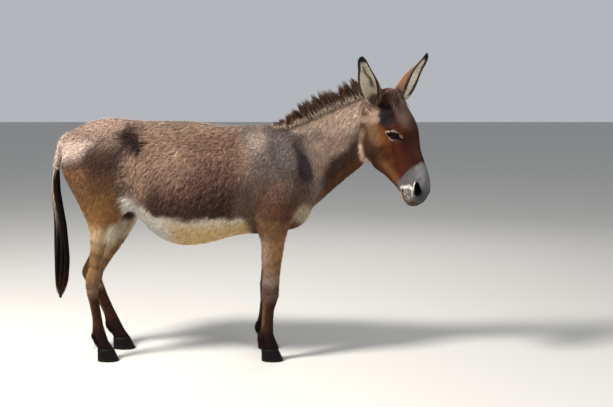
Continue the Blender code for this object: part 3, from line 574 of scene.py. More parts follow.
def ear_shell(side):
    """A rolled leaf: outer and inner face, thin at the rim. Gives points, faces, share, inner flag, angle."""
    base, reach, facing = EARS[side]
    foot = from_head(base)
    axis = unit(np.array(reach))
    opening = np.array(facing)
    opening = unit(opening - axis * (axis @ opening))
    across = np.cross(axis, opening)
    sections = np.array(EAR_SECTIONS)
    shares = np.concatenate([np.linspace(-0.14, 0.9, 44), np.linspace(0.915, 1.0, 10)])
    around = 34
    points, share_of, inner_of, turn_of = [], [], [], []
    for share in shares:
        radius, curl, back = (np.interp(share, sections[:, 0], sections[:, k]) for k in (1, 2, 3))
        radius -= 0.0012
        middle = foot + axis * share * (EAR_LENGTH - 0.003) + opening * (radius - back)
        wall = min(0.0046, radius * 0.7)
        turn = np.radians(np.linspace(-curl, curl, around))
        out = across * np.sin(turn)[:, None] - opening * np.cos(turn)[:, None]
        thin = wall * (1 - 0.55 * np.abs(np.sin(turn / 2)) ** 3)
        ripple = 0.0012 * np.sin(turn * 9) * (1 - abs(share - 0.4))
        outer = middle + out * radius
        inner = middle + out * (radius - thin - np.maximum(ripple, 0))[:, None]
        points.append(np.vstack([outer, inner[::-1]]))
        rel = turn / math.radians(curl)
        share_of.append(np.full(2 * around, share))
        inner_of.append(np.r_[np.zeros(around), np.ones(around)])
        turn_of.append(np.r_[rel, rel[::-1]])
    marks = [np.concatenate(v) for v in (share_of, inner_of, turn_of)]
    return (np.vstack(points), loft_faces(len(shares), 2 * around), *marks,
            dict(foot=foot, axis=axis, opening=opening, across=across))


# ---------------------------------------------------------------- markings, with painted light and shade
# fore-and-aft middle of a leg: heights, places
FORELEG_LINE = (.04, .09, .15, .25, .33, .45, .60, .75), (.152, .134, .133, .142, .151, .156, .164, .179)
HINDLEG_RIGHT = (
    (.04, .12, .205, .365, .45, .575, .70, .75),
    (-.640, -.676, -.684, -.705, -.692, -.668, -.643, -.627),
)
HINDLEG_LEFT = (
    (.04, .12, .24, .345, .42, .525, .64, .75),
    (-.604, -.647, -.695, -.744, -.738, -.671, -.619, -.612),
)


def limb_mid(z, hind, left):
    """Fore-and-aft middle of a leg at a height."""
    if hind:
        return np.interp(z, *(HINDLEG_LEFT if left else HINDLEG_RIGHT))
    # the left fore hoof stands a little behind the right one
    return np.interp(z, *FORELEG_LINE) - left * 0.028 * step(z, 0.70, 0.10)


def face_share(p, weights):
    """How far a point belongs to the face: the skull, and the jaw's rear edge that the neck grows over."""
    h = to_head(p)
    s, d = h[:, 0], h[:, 2]
    own = np.clip((weights[:, 2] + weights[:, 3]) * 1.3 - 0.1, 0, 1)
    edge = 0.165 + (s - 0.02) * 0.45
    jaw = step(d, edge + 0.014, edge - 0.010) * step(s, -0.022, 0.004) * step(s, 0.310, 0.275)
    return np.maximum(own, jaw * step(p[:, 0], 0.56, 0.58) * step(np.abs(h[:, 1]), 0.150, 0.135))


def near_line(h, line, wide, soft=0.5):
    """1 along a line drawn on the side of the head, 0 beyond its width."""
    return step(path_distance(h * [1, 0, 1], [(a, 0, b) for a, b in line])[0], wide, wide * soft)


def face_colours(p):
    """The head's colours, from named places along, across and below it."""
    h = to_head(p)
    mirrored = folded(p)
    s, hy, d = mirrored.T
    rag = wave(p, 28, 41) * 0.004 + wave(p, 70, 42) * 0.002
    face = FACE
    face = layered(face, [
        # darker on the bridge of the nose: partly its own dark chestnut, partly painted shade on the front of
        # the face
        (FACE_BRIDGE, 0.9 * step(d + rag, 0.075, 0.010) * step(s, 0.185, 0.250)),
        (FACE * 1.3, 0.4 * near_line(h, [(.240, .060), (.330, .085)], 0.030, 0.1)),
        (rgb(0.110, 0.045, 0.022),
         0.2 * step(s, 0.20, 0.26) * step(s, 0.36, 0.30) * step(d, 0.030, -0.005)),
        (CHEEK, 0.92 * step(d + rag, 0.115, 0.165) * step(s, 0.350, 0.260)),
        (FACE_ORANGE * 0.55, 0.60 * near_line(h, [(.222, .100), (.275, .118), (.330, .140)], 0.034, 0.0)),
        (rgb(0.165, 0.076, 0.028),
         0.55 * near_line(h, [(.295, .165), (.345, .148), (.395, .140)], 0.040, 0.0)),
        (TAN * [0.72, 0.66, 0.60],
         0.78 * near_line(h, [(.110, .135), (.150, .140), (.185, .138)], 0.042, 0.2)),
        (FACE_ORANGE, 0.75 * near_line(h, [(.135, .096), (.160, .098), (.200, .112)], 0.030, 0.0)),
        (FOREHEAD, 0.9 * step(s, 0.215, 0.130) * step(hy, 0.085, 0.050) * step(d, 0.04, 0.01)),
    ])
    tuft = np.clip(0.8 + 0.5 * wave(p, 60, 50), 0, 1)
    tuft = tuft * step(s, 0.085, 0.030) * step(hy, 0.070, 0.045) * step(d, 0.05, 0.02)
    face = mix(face, FOREHEAD * [2.2, 2.1, 2.1], 0.75 * tuft)
    low = 0.121 + (0.084 - d) * 0.375
    patch = step(s + rag, 0.046, 0.070) * step(s - low + rag, 0.012, -0.010)
    patch = patch * step(d + rag, 0.096, 0.076) * step(d, -0.004, 0.030)
    # a soft dark patch over the brow, ragged, reaching up to the foot of the ear
    ragged = 0.05 * wave(p, 30, 46) + 0.05 * wave(p, 75, 47)
    round_patch = blob(mirrored, (.099, .078, .060), (.060, .070, .052)) + ragged
    upper_patch = blob(mirrored, (.060, .078, .068), (.042, .050, .036)) + ragged
    face = layered(face, [
        (FACE_DARK * 3.0, 0.8 * step(upper_patch, 0.15, 0.75)),
        (FACE_DARK, 0.95 * np.maximum(0.70 * patch, step(round_patch, 0.22, 0.75))),
        (FACE_DARK * 1.6, 0.55 * blob(mirrored, (.160, .020, -.028), (.040, .035, .02))),
        (JAW_PALE * [0.46, 0.47, 0.50],
         0.62 * near_line(h, [(.094, .108), (.080, .140), (.066, .165)], 0.024, 0.3)),
    ])
    streaks = np.clip(0.85 + 0.35 * wave(p, 45, 45), 0, 1)
    face = layered(face, [
        # pale streaks round the jaw's rear and lower edge: partly its own pale hair, partly a painted
        # highlight
        (JAW_PALE * 0.45,
         0.7 * streaks * near_line(h, [(.120, .190), (.165, .222), (.210, .243)], 0.024, 0.2)),
        (JAW_PALE * 1.1,
         0.90 * streaks * near_line(h, [(.180, .230), (.224, .244), (.262, .249)], 0.022, 0.1)),
        (JAW_PALE * 0.75,
         0.85 * streaks * near_line(h, [(-.010, .105), (.020, .125), (.050, .110)], 0.038, 0.1)),
        (JAW_DARK, 0.90 * step(d - (0.238 - (s - 0.25) * 0.42), -0.040, -0.006) * step(s, 0.255, 0.300)),
    ])
    edge = 0.350 + 0.08 * d + 2.1 * np.clip(d, 0, 1) ** 2
    nose = step(s + rag * 0.6, edge - 0.004, edge + 0.012)
    side = step(d, 0.010, 0.045)
    tone = layered(MUZZLE, [
        (MUZZLE * 0.60, side),
        (MUZZLE * 0.45, step(s, 0.440, 0.510) * step(d, 0.09, 0.05)),
    ])
    streaky = np.stack([s, hy, d * 0.35], -1)
    # speckled white lips behind the nostril, dark mouth, tan chin
    speck = np.clip(0.66 + 0.45 * wave(streaky, 170, 43) + 0.45 * wave(p, 330, 49), 0.05, 1)
    tone = layered(tone, [
        (WHITE,
         0.97 * speck
         * near_line(h, [(.430, .124), (.434, .104), (.438, .082), (.452, .072)], 0.0125, 0.25)),
        (WHITE, 0.6 * speck * near_line(h, [(.456, .074), (.485, .082)], 0.008, 0.2)),
    ])
    lips, t = path_distance(mirrored, MOUTH)
    below = d - np.interp(s, [.438, .456, .482, .506, .522, .53], [.121, .128, .130, .122, .112, .107])
    zone = step(s, 0.438, 0.456) * step(below, -0.040, -0.026) * step(below, 0.006, -0.002)
    tone = mix(tone, LIPS * 0.7, 0.90 * zone)
    streaks = np.clip(1.5 * wave(streaky, 160, 44) + 1.1 * wave(streaky, 330, 48) - 0.45, 0, 1)
    tone = mix(tone, WHITE, 0.75 * zone * streaks * step(s, 0.515, 0.485))
    near, t = path_distance(mirrored, NOSTRIL)
    wide = nostril_width(t)
    rear = step(d - .040 - (s - .44) * .25, 0.000, 0.008)
    tone = layered(tone, [
        (WHITE, 0.9 * bell(near - wide, 0.0042, 0.0024) * rear * step(t, 0.15, 0.4) * step(t, 0.92, 0.72)),
        (BLACK, step(lips, 0.0046, 0.0026)),
        (CHIN, 0.92 * step(below, 0.006, 0.018) * step(s, 0.430, 0.460)),
    ])
    return mix(face, tone, nose)


def thigh_tone(p, rag):
    """Dark in the middle of the thigh, tan and then pale downward, pale pinkish grey on the buttock, partly a
    painted highlight.
    """
    x, z = p[:, 0], p[:, 2]
    at = z + rag * 0.6 + 0.10 * np.clip(x + 0.60, 0, 1)
    tone = layered(THIGH_PALE, [
        (THIGH_TAN, step(at, 0.60, 0.71)),
        (THIGH_DARK, step(at, 0.72, 0.97)),
        (THIGH_TOP, step(at, 0.995, 1.085)),
        (rgb(0.240, 0.125, 0.058),
         0.75 * step(x, -0.665, -0.740) * step(z, 0.76, 0.82) * step(z, 0.97, 0.91)),
        # the pale buttock: partly its own colour, partly a painted highlight
        (RUMP_AND_HIGHLIGHT, step(x + rag - 0.55 * (z - 1.03), -0.660, -0.765) * step(z + rag, 0.935, 1.005)),
    ])
    # brighter still at the very rear of the buttock: painted highlight
    return mix(tone, RUMP_AND_HIGHLIGHT * 1.25, 0.8 * step(x, -0.760, -0.840) * step(z, 0.95, 1.01))


def markings(p, weights, n):
    """Coat colour at each point, with painted light and shade in places."""
    x, y, z = p.T
    w = {name: weights[:, k] for k, name in enumerate(FLESH)}
    colour = DUN
    # trunk
    rag = wave(p, 5.0, 3) * 0.018 + wave(p, 16.0, 4) * 0.010
    colour = layered(colour, [
        # darker towards the bottom of the barrel: partly its own colour, partly painted shade on the lower
        # half
        (DUN * [0.50, 0.42, 0.42],
         0.85 * step(z + rag - 0.12 * (x + 0.33), 0.98, 0.86) * step(x, -0.47, -0.38)),
        (LOIN, 0.8 * step(z, 1.085, 1.125) * step(x, -0.62, -0.50)),
        (CROUP * 1.12, 0.85 * step(x, -0.48, -0.58) * step(z, 1.00, 1.07)),
        (CROUP * 1.45, 0.8 * step(x, -0.48, -0.58) * step(z, 1.100, 1.135)),
        (CROUP * [0.62, 0.60, 0.58],
         0.85 * step(x, -0.70, -0.60) * step(x, -0.50, -0.54) * step(z, 1.105, 1.060)),
        (DUN * 1.25, 0.5 * blob(p, (-0.03, None, 1.08), (0.10, 1, 0.07))),
    ])
    shaded = step(x + rag, -0.28, -0.17) * step(z, 0.78, 0.84) * step(z, 1.115, 1.075) * step(x, 0.04, -0.02)
    colour = mix(colour, colour * [0.66, 0.58, 0.59], 0.90 * shaded)
    colour = mix(colour, colour * 0.84, step(x, -0.40, -0.34) * step(x, -0.17, -0.28) * step(z, 1.00, 1.05))
    # painted shade in the hollow before the point of the hip, and a softer painted shade running down and
    # back from it
    flat = p * [1, 0, 1]
    halo = path_distance(flat, [(-0.480, 0, 1.078), (-0.535, 0, 1.055), (-0.615, 0, 1.010)])[0]
    hip = path_distance(flat, [(-0.528, 0, 1.090), (-0.500, 0, 1.066), (-0.468, 0, 1.046)])[0]
    fine = 0.006 * wave(p, 30, 61) + 0.004 * wave(p, 75, 62)
    colour = layered(colour, [
        (HIP_HOLLOW_SHADE * 3.8, 0.70 * step(halo + 0.8 * rag + fine, 0.082, 0.020)),
        (HIP_HOLLOW_SHADE, 0.92 * step(hip + 0.4 * rag + 1.6 * fine, 0.056, 0.016)),
        (SHOULDER, step(x + rag, -0.02, 0.08) * step(x, 0.52, 0.36)),
        (DUN * 0.95, 0.6 * blob(p, (0.020, None, 0.960), (0.045, 1, 0.080))),
        (PATCH, 0.95 * np.clip(1.4 * blob(p, (0.092, None, 1.075), (0.046, 1, 0.062)), 0, 1)),
    ])
    # the dark band low on the barrel: partly its own dark colour, partly painted shade on the underside of
    # the barrel
    band = step(z + rag, 0.90, 0.80) * step(x, -0.47, -0.38) * step(x, 0.02, -0.06)
    colour = layered(colour, [
        (LOW_BAND_AND_SHADE, 0.88 * band),
        (thigh_tone(p, rag), step(x, -0.520, -0.590) * step(z, 1.09, 1.05)),
    ])
    # dorsal stripe, shoulder cross, and painted shade in the hollow before the shoulder
    stripe = bell(y, 0, 0.016) * step(z, 1.02, 1.08) * step(x, 0.36, 0.20)
    colour = mix(colour, CROSS, 0.55 * stripe)
    cross_x = 0.185 + (1.10 - z) * 0.30
    cross = np.exp(-((x - cross_x + rag * 0.4) / 0.040) ** 4) * step(z, 0.90, 0.98)
    colour = mix(colour, CROSS, 0.80 * cross * step(np.abs(y), 0.0, 0.02))
    # edges of the painted shade in the hollow before the shoulder blade
    ahead = np.interp(z, [0.80, 0.889, 0.957, 1.064, 1.10], [0.370, 0.366, 0.348, 0.292, 0.270]) - rag * 0.4
    behind = np.interp(z, [0.80, 0.889, 0.957, 1.03, 1.07], [0.266, 0.270, 0.277, 0.276, 0.266]) - rag * 0.6
    fore = step(x, ahead + 0.009, ahead - 0.009) * step(x, behind - 0.014, behind + 0.014)
    fore = fore * step(z, 1.10, 1.03) * step(z, 0.80, 0.90)
    colour = layered(colour, [
        (SHOULDER_HOLLOW_SHADE * 1.15, 0.86 * fore),
        (SHOULDER_LOW, 0.85 * step(x, 0.02, 0.08) * step(z + rag, 0.92, 0.82)),
        (UPPER_ARM, 0.85 * step(x, 0.06, 0.10) * step(z + rag, 0.80, 0.76)),
        (rgb(0.175, 0.084, 0.040), 0.5 * bell(z + rag, 0.735, 0.022) * step(x, 0.08, 0.12)),
        (LEG, step(z + rag, 0.720, 0.690) * step(x, 0.07, 0.11) * step(x, 0.30, 0.26)),
        (NECK_PALE, 0.75 * step(z + rag, 1.090, 1.120) * step(x, 0.245, 0.285)),
    ])
    # pale belly, with the fold of the flank at its rear end
    edge = 0.700 + rag * 0.7 + 0.105 * step(x, -0.37, -0.51)
    under = step(z, edge + 0.016, edge - 0.014) * step(x, 0.075, 0.035) * step(x, -0.560, -0.520)
    white = np.maximum(step(x, -0.26, -0.38), 0.6 * step(z, edge - 0.055, edge - 0.01))
    colour = mix(colour, mix(BELLY, BELLY_WHITE, white), 0.96 * under)
    # neck
    up = step(z - (1.03 + (x - 0.40) * 0.42), -0.02, 0.07)
    tone = mix(NECK * [0.80, 0.76, 0.74], NECK_PALE, np.clip(0.85 * up + 0.18 * wave(p, 9, 7), 0, 1))
    over = z - (0.925 + (x - 0.48) * 1.07) + rag
    tone = layered(tone, [
        # painted shade: the head's shadow on the lower front of the neck
        (NECK * [0.074, 0.030, 0.015], 0.92 * step(over, 0.135, 0.055) * step(x, 0.36, 0.44)),
        (rgb(0.160, 0.062, 0.016), 0.6 * step(over, 0.004, -0.022)),
        (SHOULDER, step(x, 0.40, 0.30) * step(z, 1.115, 1.085)),
        (NECK * 0.55, 0.7 * blob(p, (0.385, None, 1.085), (0.055, 1, 0.028))),
        (CROSS, 0.80 * cross),
        # the same painted shade before the shoulder, on the neck
        (SHOULDER_HOLLOW_SHADE * 1.15, 0.86 * fore),
    ])
    colour = mix(colour, tone, np.clip(w["neck"] * 1.3, 0, 1))
    # legs
    for k, name in enumerate(FLESH):
        if "leg" not in name:
            continue
        hind, left = name.startswith("hind"), "left" in name
        mid = limb_mid(z, hind, left)
        front = (x - mid) / 0.05
        inside = step((y if not left else -y), -0.105, -0.080)
        if not hind:
            tone = layered(LEG, [
                (LEG_PALE, step(front, 0.2, -0.7) * step(z, 0.40, 0.50)),
                (UPPER_ARM, step(z + rag, 0.655, 0.715)),
                (rgb(0.170, 0.072, 0.030), 0.5 * bell(z + rag, 0.728, 0.020) * step(front, -1.4, -0.6)),
                (LEG * 1.35, 0.8 * step(front, 0.15, 0.75)),
                (LEG_PALE * [0.85, 1.00, 1.25], 0.8 * bell(z + rag, 0.385, 0.050) * step(front, 0.9, 0.2)),
            ])
            bars = bell(z - 0.475, front * 0.012, 0.010) + bell(z - 0.425, front * 0.012, 0.010)
            tone = layered(tone, [
                (KNEE, 0.38 * bars),
                (KNEE, step(z, 0.40, 0.35)),
                (CANNON, step(z, 0.31, 0.27)),
                # painted light on the rear half of the cannon
                (LIT_REAR_LEG * 0.40, 0.6 * step(front, -0.15, -0.5) * step(z, 0.31, 0.27) * step(z, 0.15, 0.19)),
                (BELLY * 0.8, 0.7 * inside * step(z, 0.45, 0.55) * step(z, 0.72, 0.66)),
            ])
        else:
            tone = layered(thigh_tone(p, rag), [
                # painted light on the rear-facing side of the thigh and gaskin
                (LIT_REAR_LEG, 0.7 * step(n[:, 0], -0.45, -0.85) * step(z, 0.94, 0.86)),
                (LEG * [0.92, 0.86, 0.66], 0.85 * step(z, 0.61, 0.52)),
            ])
            for level in (0.575, 0.520, 0.465):
                bar = bell(z - level + front * 0.014, 0, 0.009)
                tone = mix(tone, KNEE, 0.48 * bar)
            tone = layered(tone, [
                (KNEE * 1.3, 0.8 * step(z, 0.42, 0.36)),
                (CANNON * [0.90, 0.72, 0.6], step(z, 0.34, 0.29)),
                # painted light on the rear half of the cannon
                (LIT_REAR_LEG * 0.45, 0.55 * step(front, -0.1, -0.5) * step(z, 0.34, 0.29) * step(z, 0.16, 0.20)),
                (BELLY_WHITE * [0.62, 0.58, 0.50],
                 0.9 * inside * step(z, 0.42, 0.54) * step(z, 0.90, 0.80)),
            ])
            edge_on = step(n[:, 0], 0.45, 0.85) * step(z, 0.56, 0.64) * step(z, 0.82, 0.74)
            tone = mix(tone, BELLY_WHITE * [0.85, 0.82, 0.78], 0.85 * edge_on)
        tone = mix(tone, FETLOCK, step(z, 0.185, 0.120))
        colour = mix(colour, tone, np.clip(w[name] * 1.25, 0, 1))
    # painted shade between the hind legs, where the underside recedes
    groin_shade = step(blob(p, (-0.548, None, 0.712), (0.046, 1, 0.040)) + 4 * rag, 0.20, 0.60)
    groin_shade = groin_shade * step(np.abs(y), 0.112, 0.088)
    colour = mix(colour, GROIN_SHADE, 0.92 * groin_shade)
    elbow = blob(p, (0.060, None, 0.705), (0.034, 1, 0.058)) * step(x, 0.140, 0.100)
    colour = mix(colour, ELBOW, 0.9 * np.clip(1.3 * elbow, 0, 1))
    # the brisket's own pale colour, tinted grey-blue as painted shade
    brisket = blob(p, (0.312, None, 0.712), (0.046, 1, 0.046)) * step(np.abs(y), 0.15, 0.11)
    colour = mix(colour, BELLY * [0.70, 0.80, 1.10], 0.92 * np.clip(1.5 * brisket, 0, 1))
    # tail dock
    # the dock's lower part takes the buttock's pale tone, partly a painted highlight
    tone = mix(CROUP * 1.5, RUMP_AND_HIGHLIGHT * 1.2, step(z, 1.10, 1.04))
    end = mix(BLACK * 2, rgb(0.300, 0.220, 0.150), step(n[:, 0], 0.25, -0.25))
    tone = mix(tone, end, step(z + 1.3 * (x + 0.89), 0.945, 0.915))
    colour = layered(colour, [
        (tone, np.clip(w["tail_dock"] * 1.2, 0, 1)),
        (face_colours(p), face_share(p, weights)),
    ])
    colour = colour * (1 + 0.10 * wave(p, 22, 11) + 0.06 * wave(p, 60, 12))[:, None]
    return np.clip(colour, 0.004, 0.9)


def eye_marks(colour, co, eyes, gap, upper):
    """Pale ring round the lids, dark lid margins and the dark corner towards the nose."""
    ring = bell(gap, 0.0115, 0.0046)
    colour = mix(colour, LID_PALE, 0.52 * ring * np.where(upper > 0, 1.0, 0.42))
    for s in (1, -1):
        centre, along, rise, out = eyes[s]
        q = co - centre
        a, b = q @ along, q @ rise
        t = np.clip((a - 0.022) / 0.026, 0, 1)
        off = np.hypot(a - 0.022 - 0.026 * t, b + 0.001 + 0.005 * t)
        nose_end = step(off / (0.0074 - 0.0034 * t), 1.2, 0.8)
        rear_end = step(np.hypot((a + 0.030) * 0.6, b - 0.001), 0.0060, 0.0042)
        corner = np.maximum(nose_end, rear_end) * (q @ out > 0)
        plain = step(a, 0.010, 0.020) * step(np.abs(b), 0.020, 0.012)
        plain = plain * step(np.linalg.norm(q, axis=1), 0.060, 0.050)
        colour = layered(colour, [
            (FACE * 1.2, 0.90 * plain * ring * (q @ out > 0)),
            (LID_EDGE, 0.97 * corner),
        ])
    colour = mix(colour, LID_EDGE, step(gap, 0.0074, 0.0056))
    return colour


# ---------------------------------------------------------------- lie of the coat
def turned(v, axis, angle):
    """Directions turned about an axis that stands square to them."""
    return v * np.cos(angle)[:, None] + np.cross(axis, v) * np.sin(angle)[:, None]


def lie_of(p, n, weights):
    """The way the hair lies at each point, mixed from the ways of its solids."""
    x, y, z = p.T
    h = to_head(p)
    s, d = h[:, 0], h[:, 2]
    w = {name: weights[:, k] for k, name in enumerate(FLESH)}
    one = np.ones(len(p))
    top = step(z, 0.98, 1.10)
    rear = step(x, -0.42, -0.62)
    front = step(x, -0.05, 0.15)
    back = 0.62 + 0.35 * top - 0.12 * rear - 0.25 * front
    down = 0.80 - 0.45 * top + 0.25 * rear + 0.10 * front
    bottom = step(n[:, 2], -0.4, -0.85)
    inward = -0.6 * bottom * np.sign(y) * np.minimum(np.abs(y) * 8, 1)
    trunk = np.stack([-back * (1 + 0.4 * bottom), inward, -down], -1)
    hollow = blob(p, (-0.50, None, 0.84), (0.10, 1, 0.10))
    trunk += hollow[:, None] * np.stack([0.9 * np.sign(x + 0.50), 0 * x, 0.5 * one], -1) * 0.8
    neck = np.stack([-0.35 * one, 0 * x, -0.92 * one], -1)
    leg = np.stack([-0.16 * one, 0 * x, -one], -1)
    cheek = step(d, 0.05, 0.16) * step(s, 0.34, 0.20)
    head = (1 - 0.35 * cheek)[:, None] * ALONG + (0.62 * cheek)[:, None] * BELOW
    aside = 0.35 * step(np.abs(h[:, 1]), 0.0, 0.05) * step(s, 0.40, 0.1) * (1 - cheek)
    head = head + aside[:, None] * BELOW
    total = np.zeros_like(p)
    ways = {"trunk": trunk, "neck": neck, "head": head, "muzzle": head}
    for name in FLESH:
        total += unit(ways.get(name, leg)) * w[name][:, None]
    turn = np.radians(13) * wave(p, 6.5, 21) + np.radians(9) * wave(p, 17, 22)
    total = total - n * dot(total, n)[:, None]
    total = unit(total)
    return turned(total, n, turn)


# ---------------------------------------------------------------- tufts
class Coat:
    """Gathers the tufts of one piece, then makes one joined mesh. chart: from roots to the OFBake map."""

    def __init__(self, name, chart=None):
        self.name, self.chart = name, chart
        self.parts, self.points, self.tris = [], 0, 0
        self.flush = False

    def add(self, spine, normal, half, colours, uv, flat=0.55, upright=0.0):
        """spine (N, K, 3) root to tip; half (N, K-1) half widths; colours (N, K, 3); uv (N, 2) of roots."""
        n, k, _ = spine.shape
        if not n:
            return
        tangent = unit(np.gradient(spine, axis=1))
        side = unit(np.cross(tangent, normal[:, None, :]))
        top = np.cross(side, tangent)
        left, right, over = -side[:, :-1], side[:, :-1], top[:, :-1]
        rings = spine[:, :-1, None, :] + half[:, :, None, None] * np.stack([left, right, over * flat * 2], 2)
        verts = np.concatenate([rings.reshape(n, -1, 3), spine[:, -1:]], 1)
        per = 3 * (k - 1) + 1
        quads, tips = [], []
        for r in range(k - 2):
            for i in range(3):
                j = (i + 1) % 3
                quads.append([r * 3 + j, r * 3 + i, r * 3 + 3 + i, r * 3 + 3 + j])
        last = 3 * (k - 2)
        for i in range(3):
            tips.append([last + (i + 1) % 3, last + i, per - 1])
        tips.append([0, 1, 2])
        shades = np.concatenate([np.repeat(colours[:, :-1], 3, axis=1), colours[:, -1:]], 1)
        t = np.concatenate([np.repeat(np.linspace(0, 1, k)[:-1], 3), [1.0]])
        u = np.concatenate([np.tile([-0.4, 0.4, 0.0], k - 1), [0.0]])
        maps = uv[:, None, :] + TUFT_PATCH * np.stack([u, t - 0.5], -1)[None]
        facing = np.concatenate([np.stack([left, right, over], 2).reshape(n, -1, 3), top[:, -1:]], 1)
        facing = unit(facing * (1 - upright) + normal[:, None] * upright)
        self.flush |= upright > 0
        start = self.points + np.arange(n)[:, None, None] * per
        self.parts.append((verts.reshape(-1, 3), shades.reshape(-1, 3), maps.reshape(-1, 2),
                           (start + np.array(quads)[None]).reshape(-1, 4) if quads else np.zeros((0, 4), int),
                           (start + np.array(tips)[None]).reshape(-1, 3), facing.reshape(-1, 3)))
        self.points += n * per
        self.tris += n * (2 * len(quads) + len(tips))

    def build(self, material):
        """Makes the mesh of all tufts, with its map, colours and material."""
        verts, shades, maps, quads, tips, facing = map(np.concatenate, zip(*self.parts))
        mesh = bpy.data.meshes.new(self.name)
        loops = np.concatenate([quads.ravel(), tips.ravel()]).astype(np.int32)
        starts = np.concatenate([np.arange(len(quads)) * 4, len(quads) * 4 + np.arange(len(tips)) * 3])
        mesh.vertices.add(len(verts))
        mesh.loops.add(len(loops))
        mesh.polygons.add(len(starts))
        mesh.vertices.foreach_set("co", verts.astype(np.float32).ravel())
        mesh.loops.foreach_set("vertex_index", loops)
        mesh.polygons.foreach_set("loop_start", starts.astype(np.int32))
        mesh.update(calc_edges=True)
        mesh.shade_smooth()
        if self.flush:
            mesh.normals_split_custom_set_from_vertices(facing.astype(np.float32))
        uv = mesh.uv_layers.new(name="OFBake")
        uv.data.foreach_set("uv", maps[loops].astype(np.float32).ravel())
        paint(mesh, shades)
        mesh.materials.append(material)
        obj = make_object(self.name, mesh)
        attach(obj, "root")
        print(self.name, "triangles", self.tris)
        return obj


def paint(mesh, colours):
    """Writes the colours that the materials read, one at each point."""
    layer = mesh.color_attributes.new("Col", "FLOAT_COLOR", "POINT")
    rgba = np.ones((len(colours), 4), np.float32)
    rgba[:, :3] = colours
    layer.data.foreach_set("color", rgba.ravel())


class Surface:
    """The skin with its fields, from which tufts are rooted."""

    def __init__(self, mesh, fields):
        mesh.calc_loop_triangles()
        tris = np.empty(len(mesh.loop_triangles) * 3, np.int32)
        mesh.loop_triangles.foreach_get("vertices", tris)
        self.tris = tris.reshape(-1, 3)
        self.co = points_of(mesh)
        a, b, c = (self.co[self.tris[:, i]] for i in range(3))
        self.area = np.linalg.norm(np.cross(b - a, c - a), axis=1) / 2
        self.fields = fields
        self.tree = BVHTree.FromPolygons(self.co.tolist(), self.tris.tolist())

    def roots(self, density, seed):
        """Random roots, so many a square metre; density is a value at each point of the skin."""
        g = np.random.default_rng(seed)
        mean = density[self.tris].mean(1) * self.area
        total = int(mean.sum())
        edge = np.cumsum(mean)
        pick = np.searchsorted(edge, (np.arange(total) + g.random(total)) / total * edge[-1])
        pick = np.minimum(pick, len(self.tris) - 1)
        r1, r2 = np.sqrt(g.random(total)), g.random(total)
        bary = np.stack([1 - r1, r1 * (1 - r2), r1 * r2], -1)
        got = {}
        corners = self.tris[pick]
        for name, values in {**self.fields, "co": self.co}.items():
            v = values[corners]
            got[name] = (v * (bary if v.ndim == 2 else bary[..., None])).sum(1)
        got["normal"] = unit(got["normal"])
        got["lie"] = unit(got["lie"])
        return got

    def laid(self, points, height):
        """Points moved to stand height above the nearest skin."""
        out = np.empty_like(points)
        find = self.tree.find_nearest
        for i, (p, up) in enumerate(zip(points.tolist(), height.tolist())):
            where, normal = find(p)[:2]
            out[i] = (where.x + normal.x * up, where.y + normal.y * up, where.z + normal.z * up)
        return out


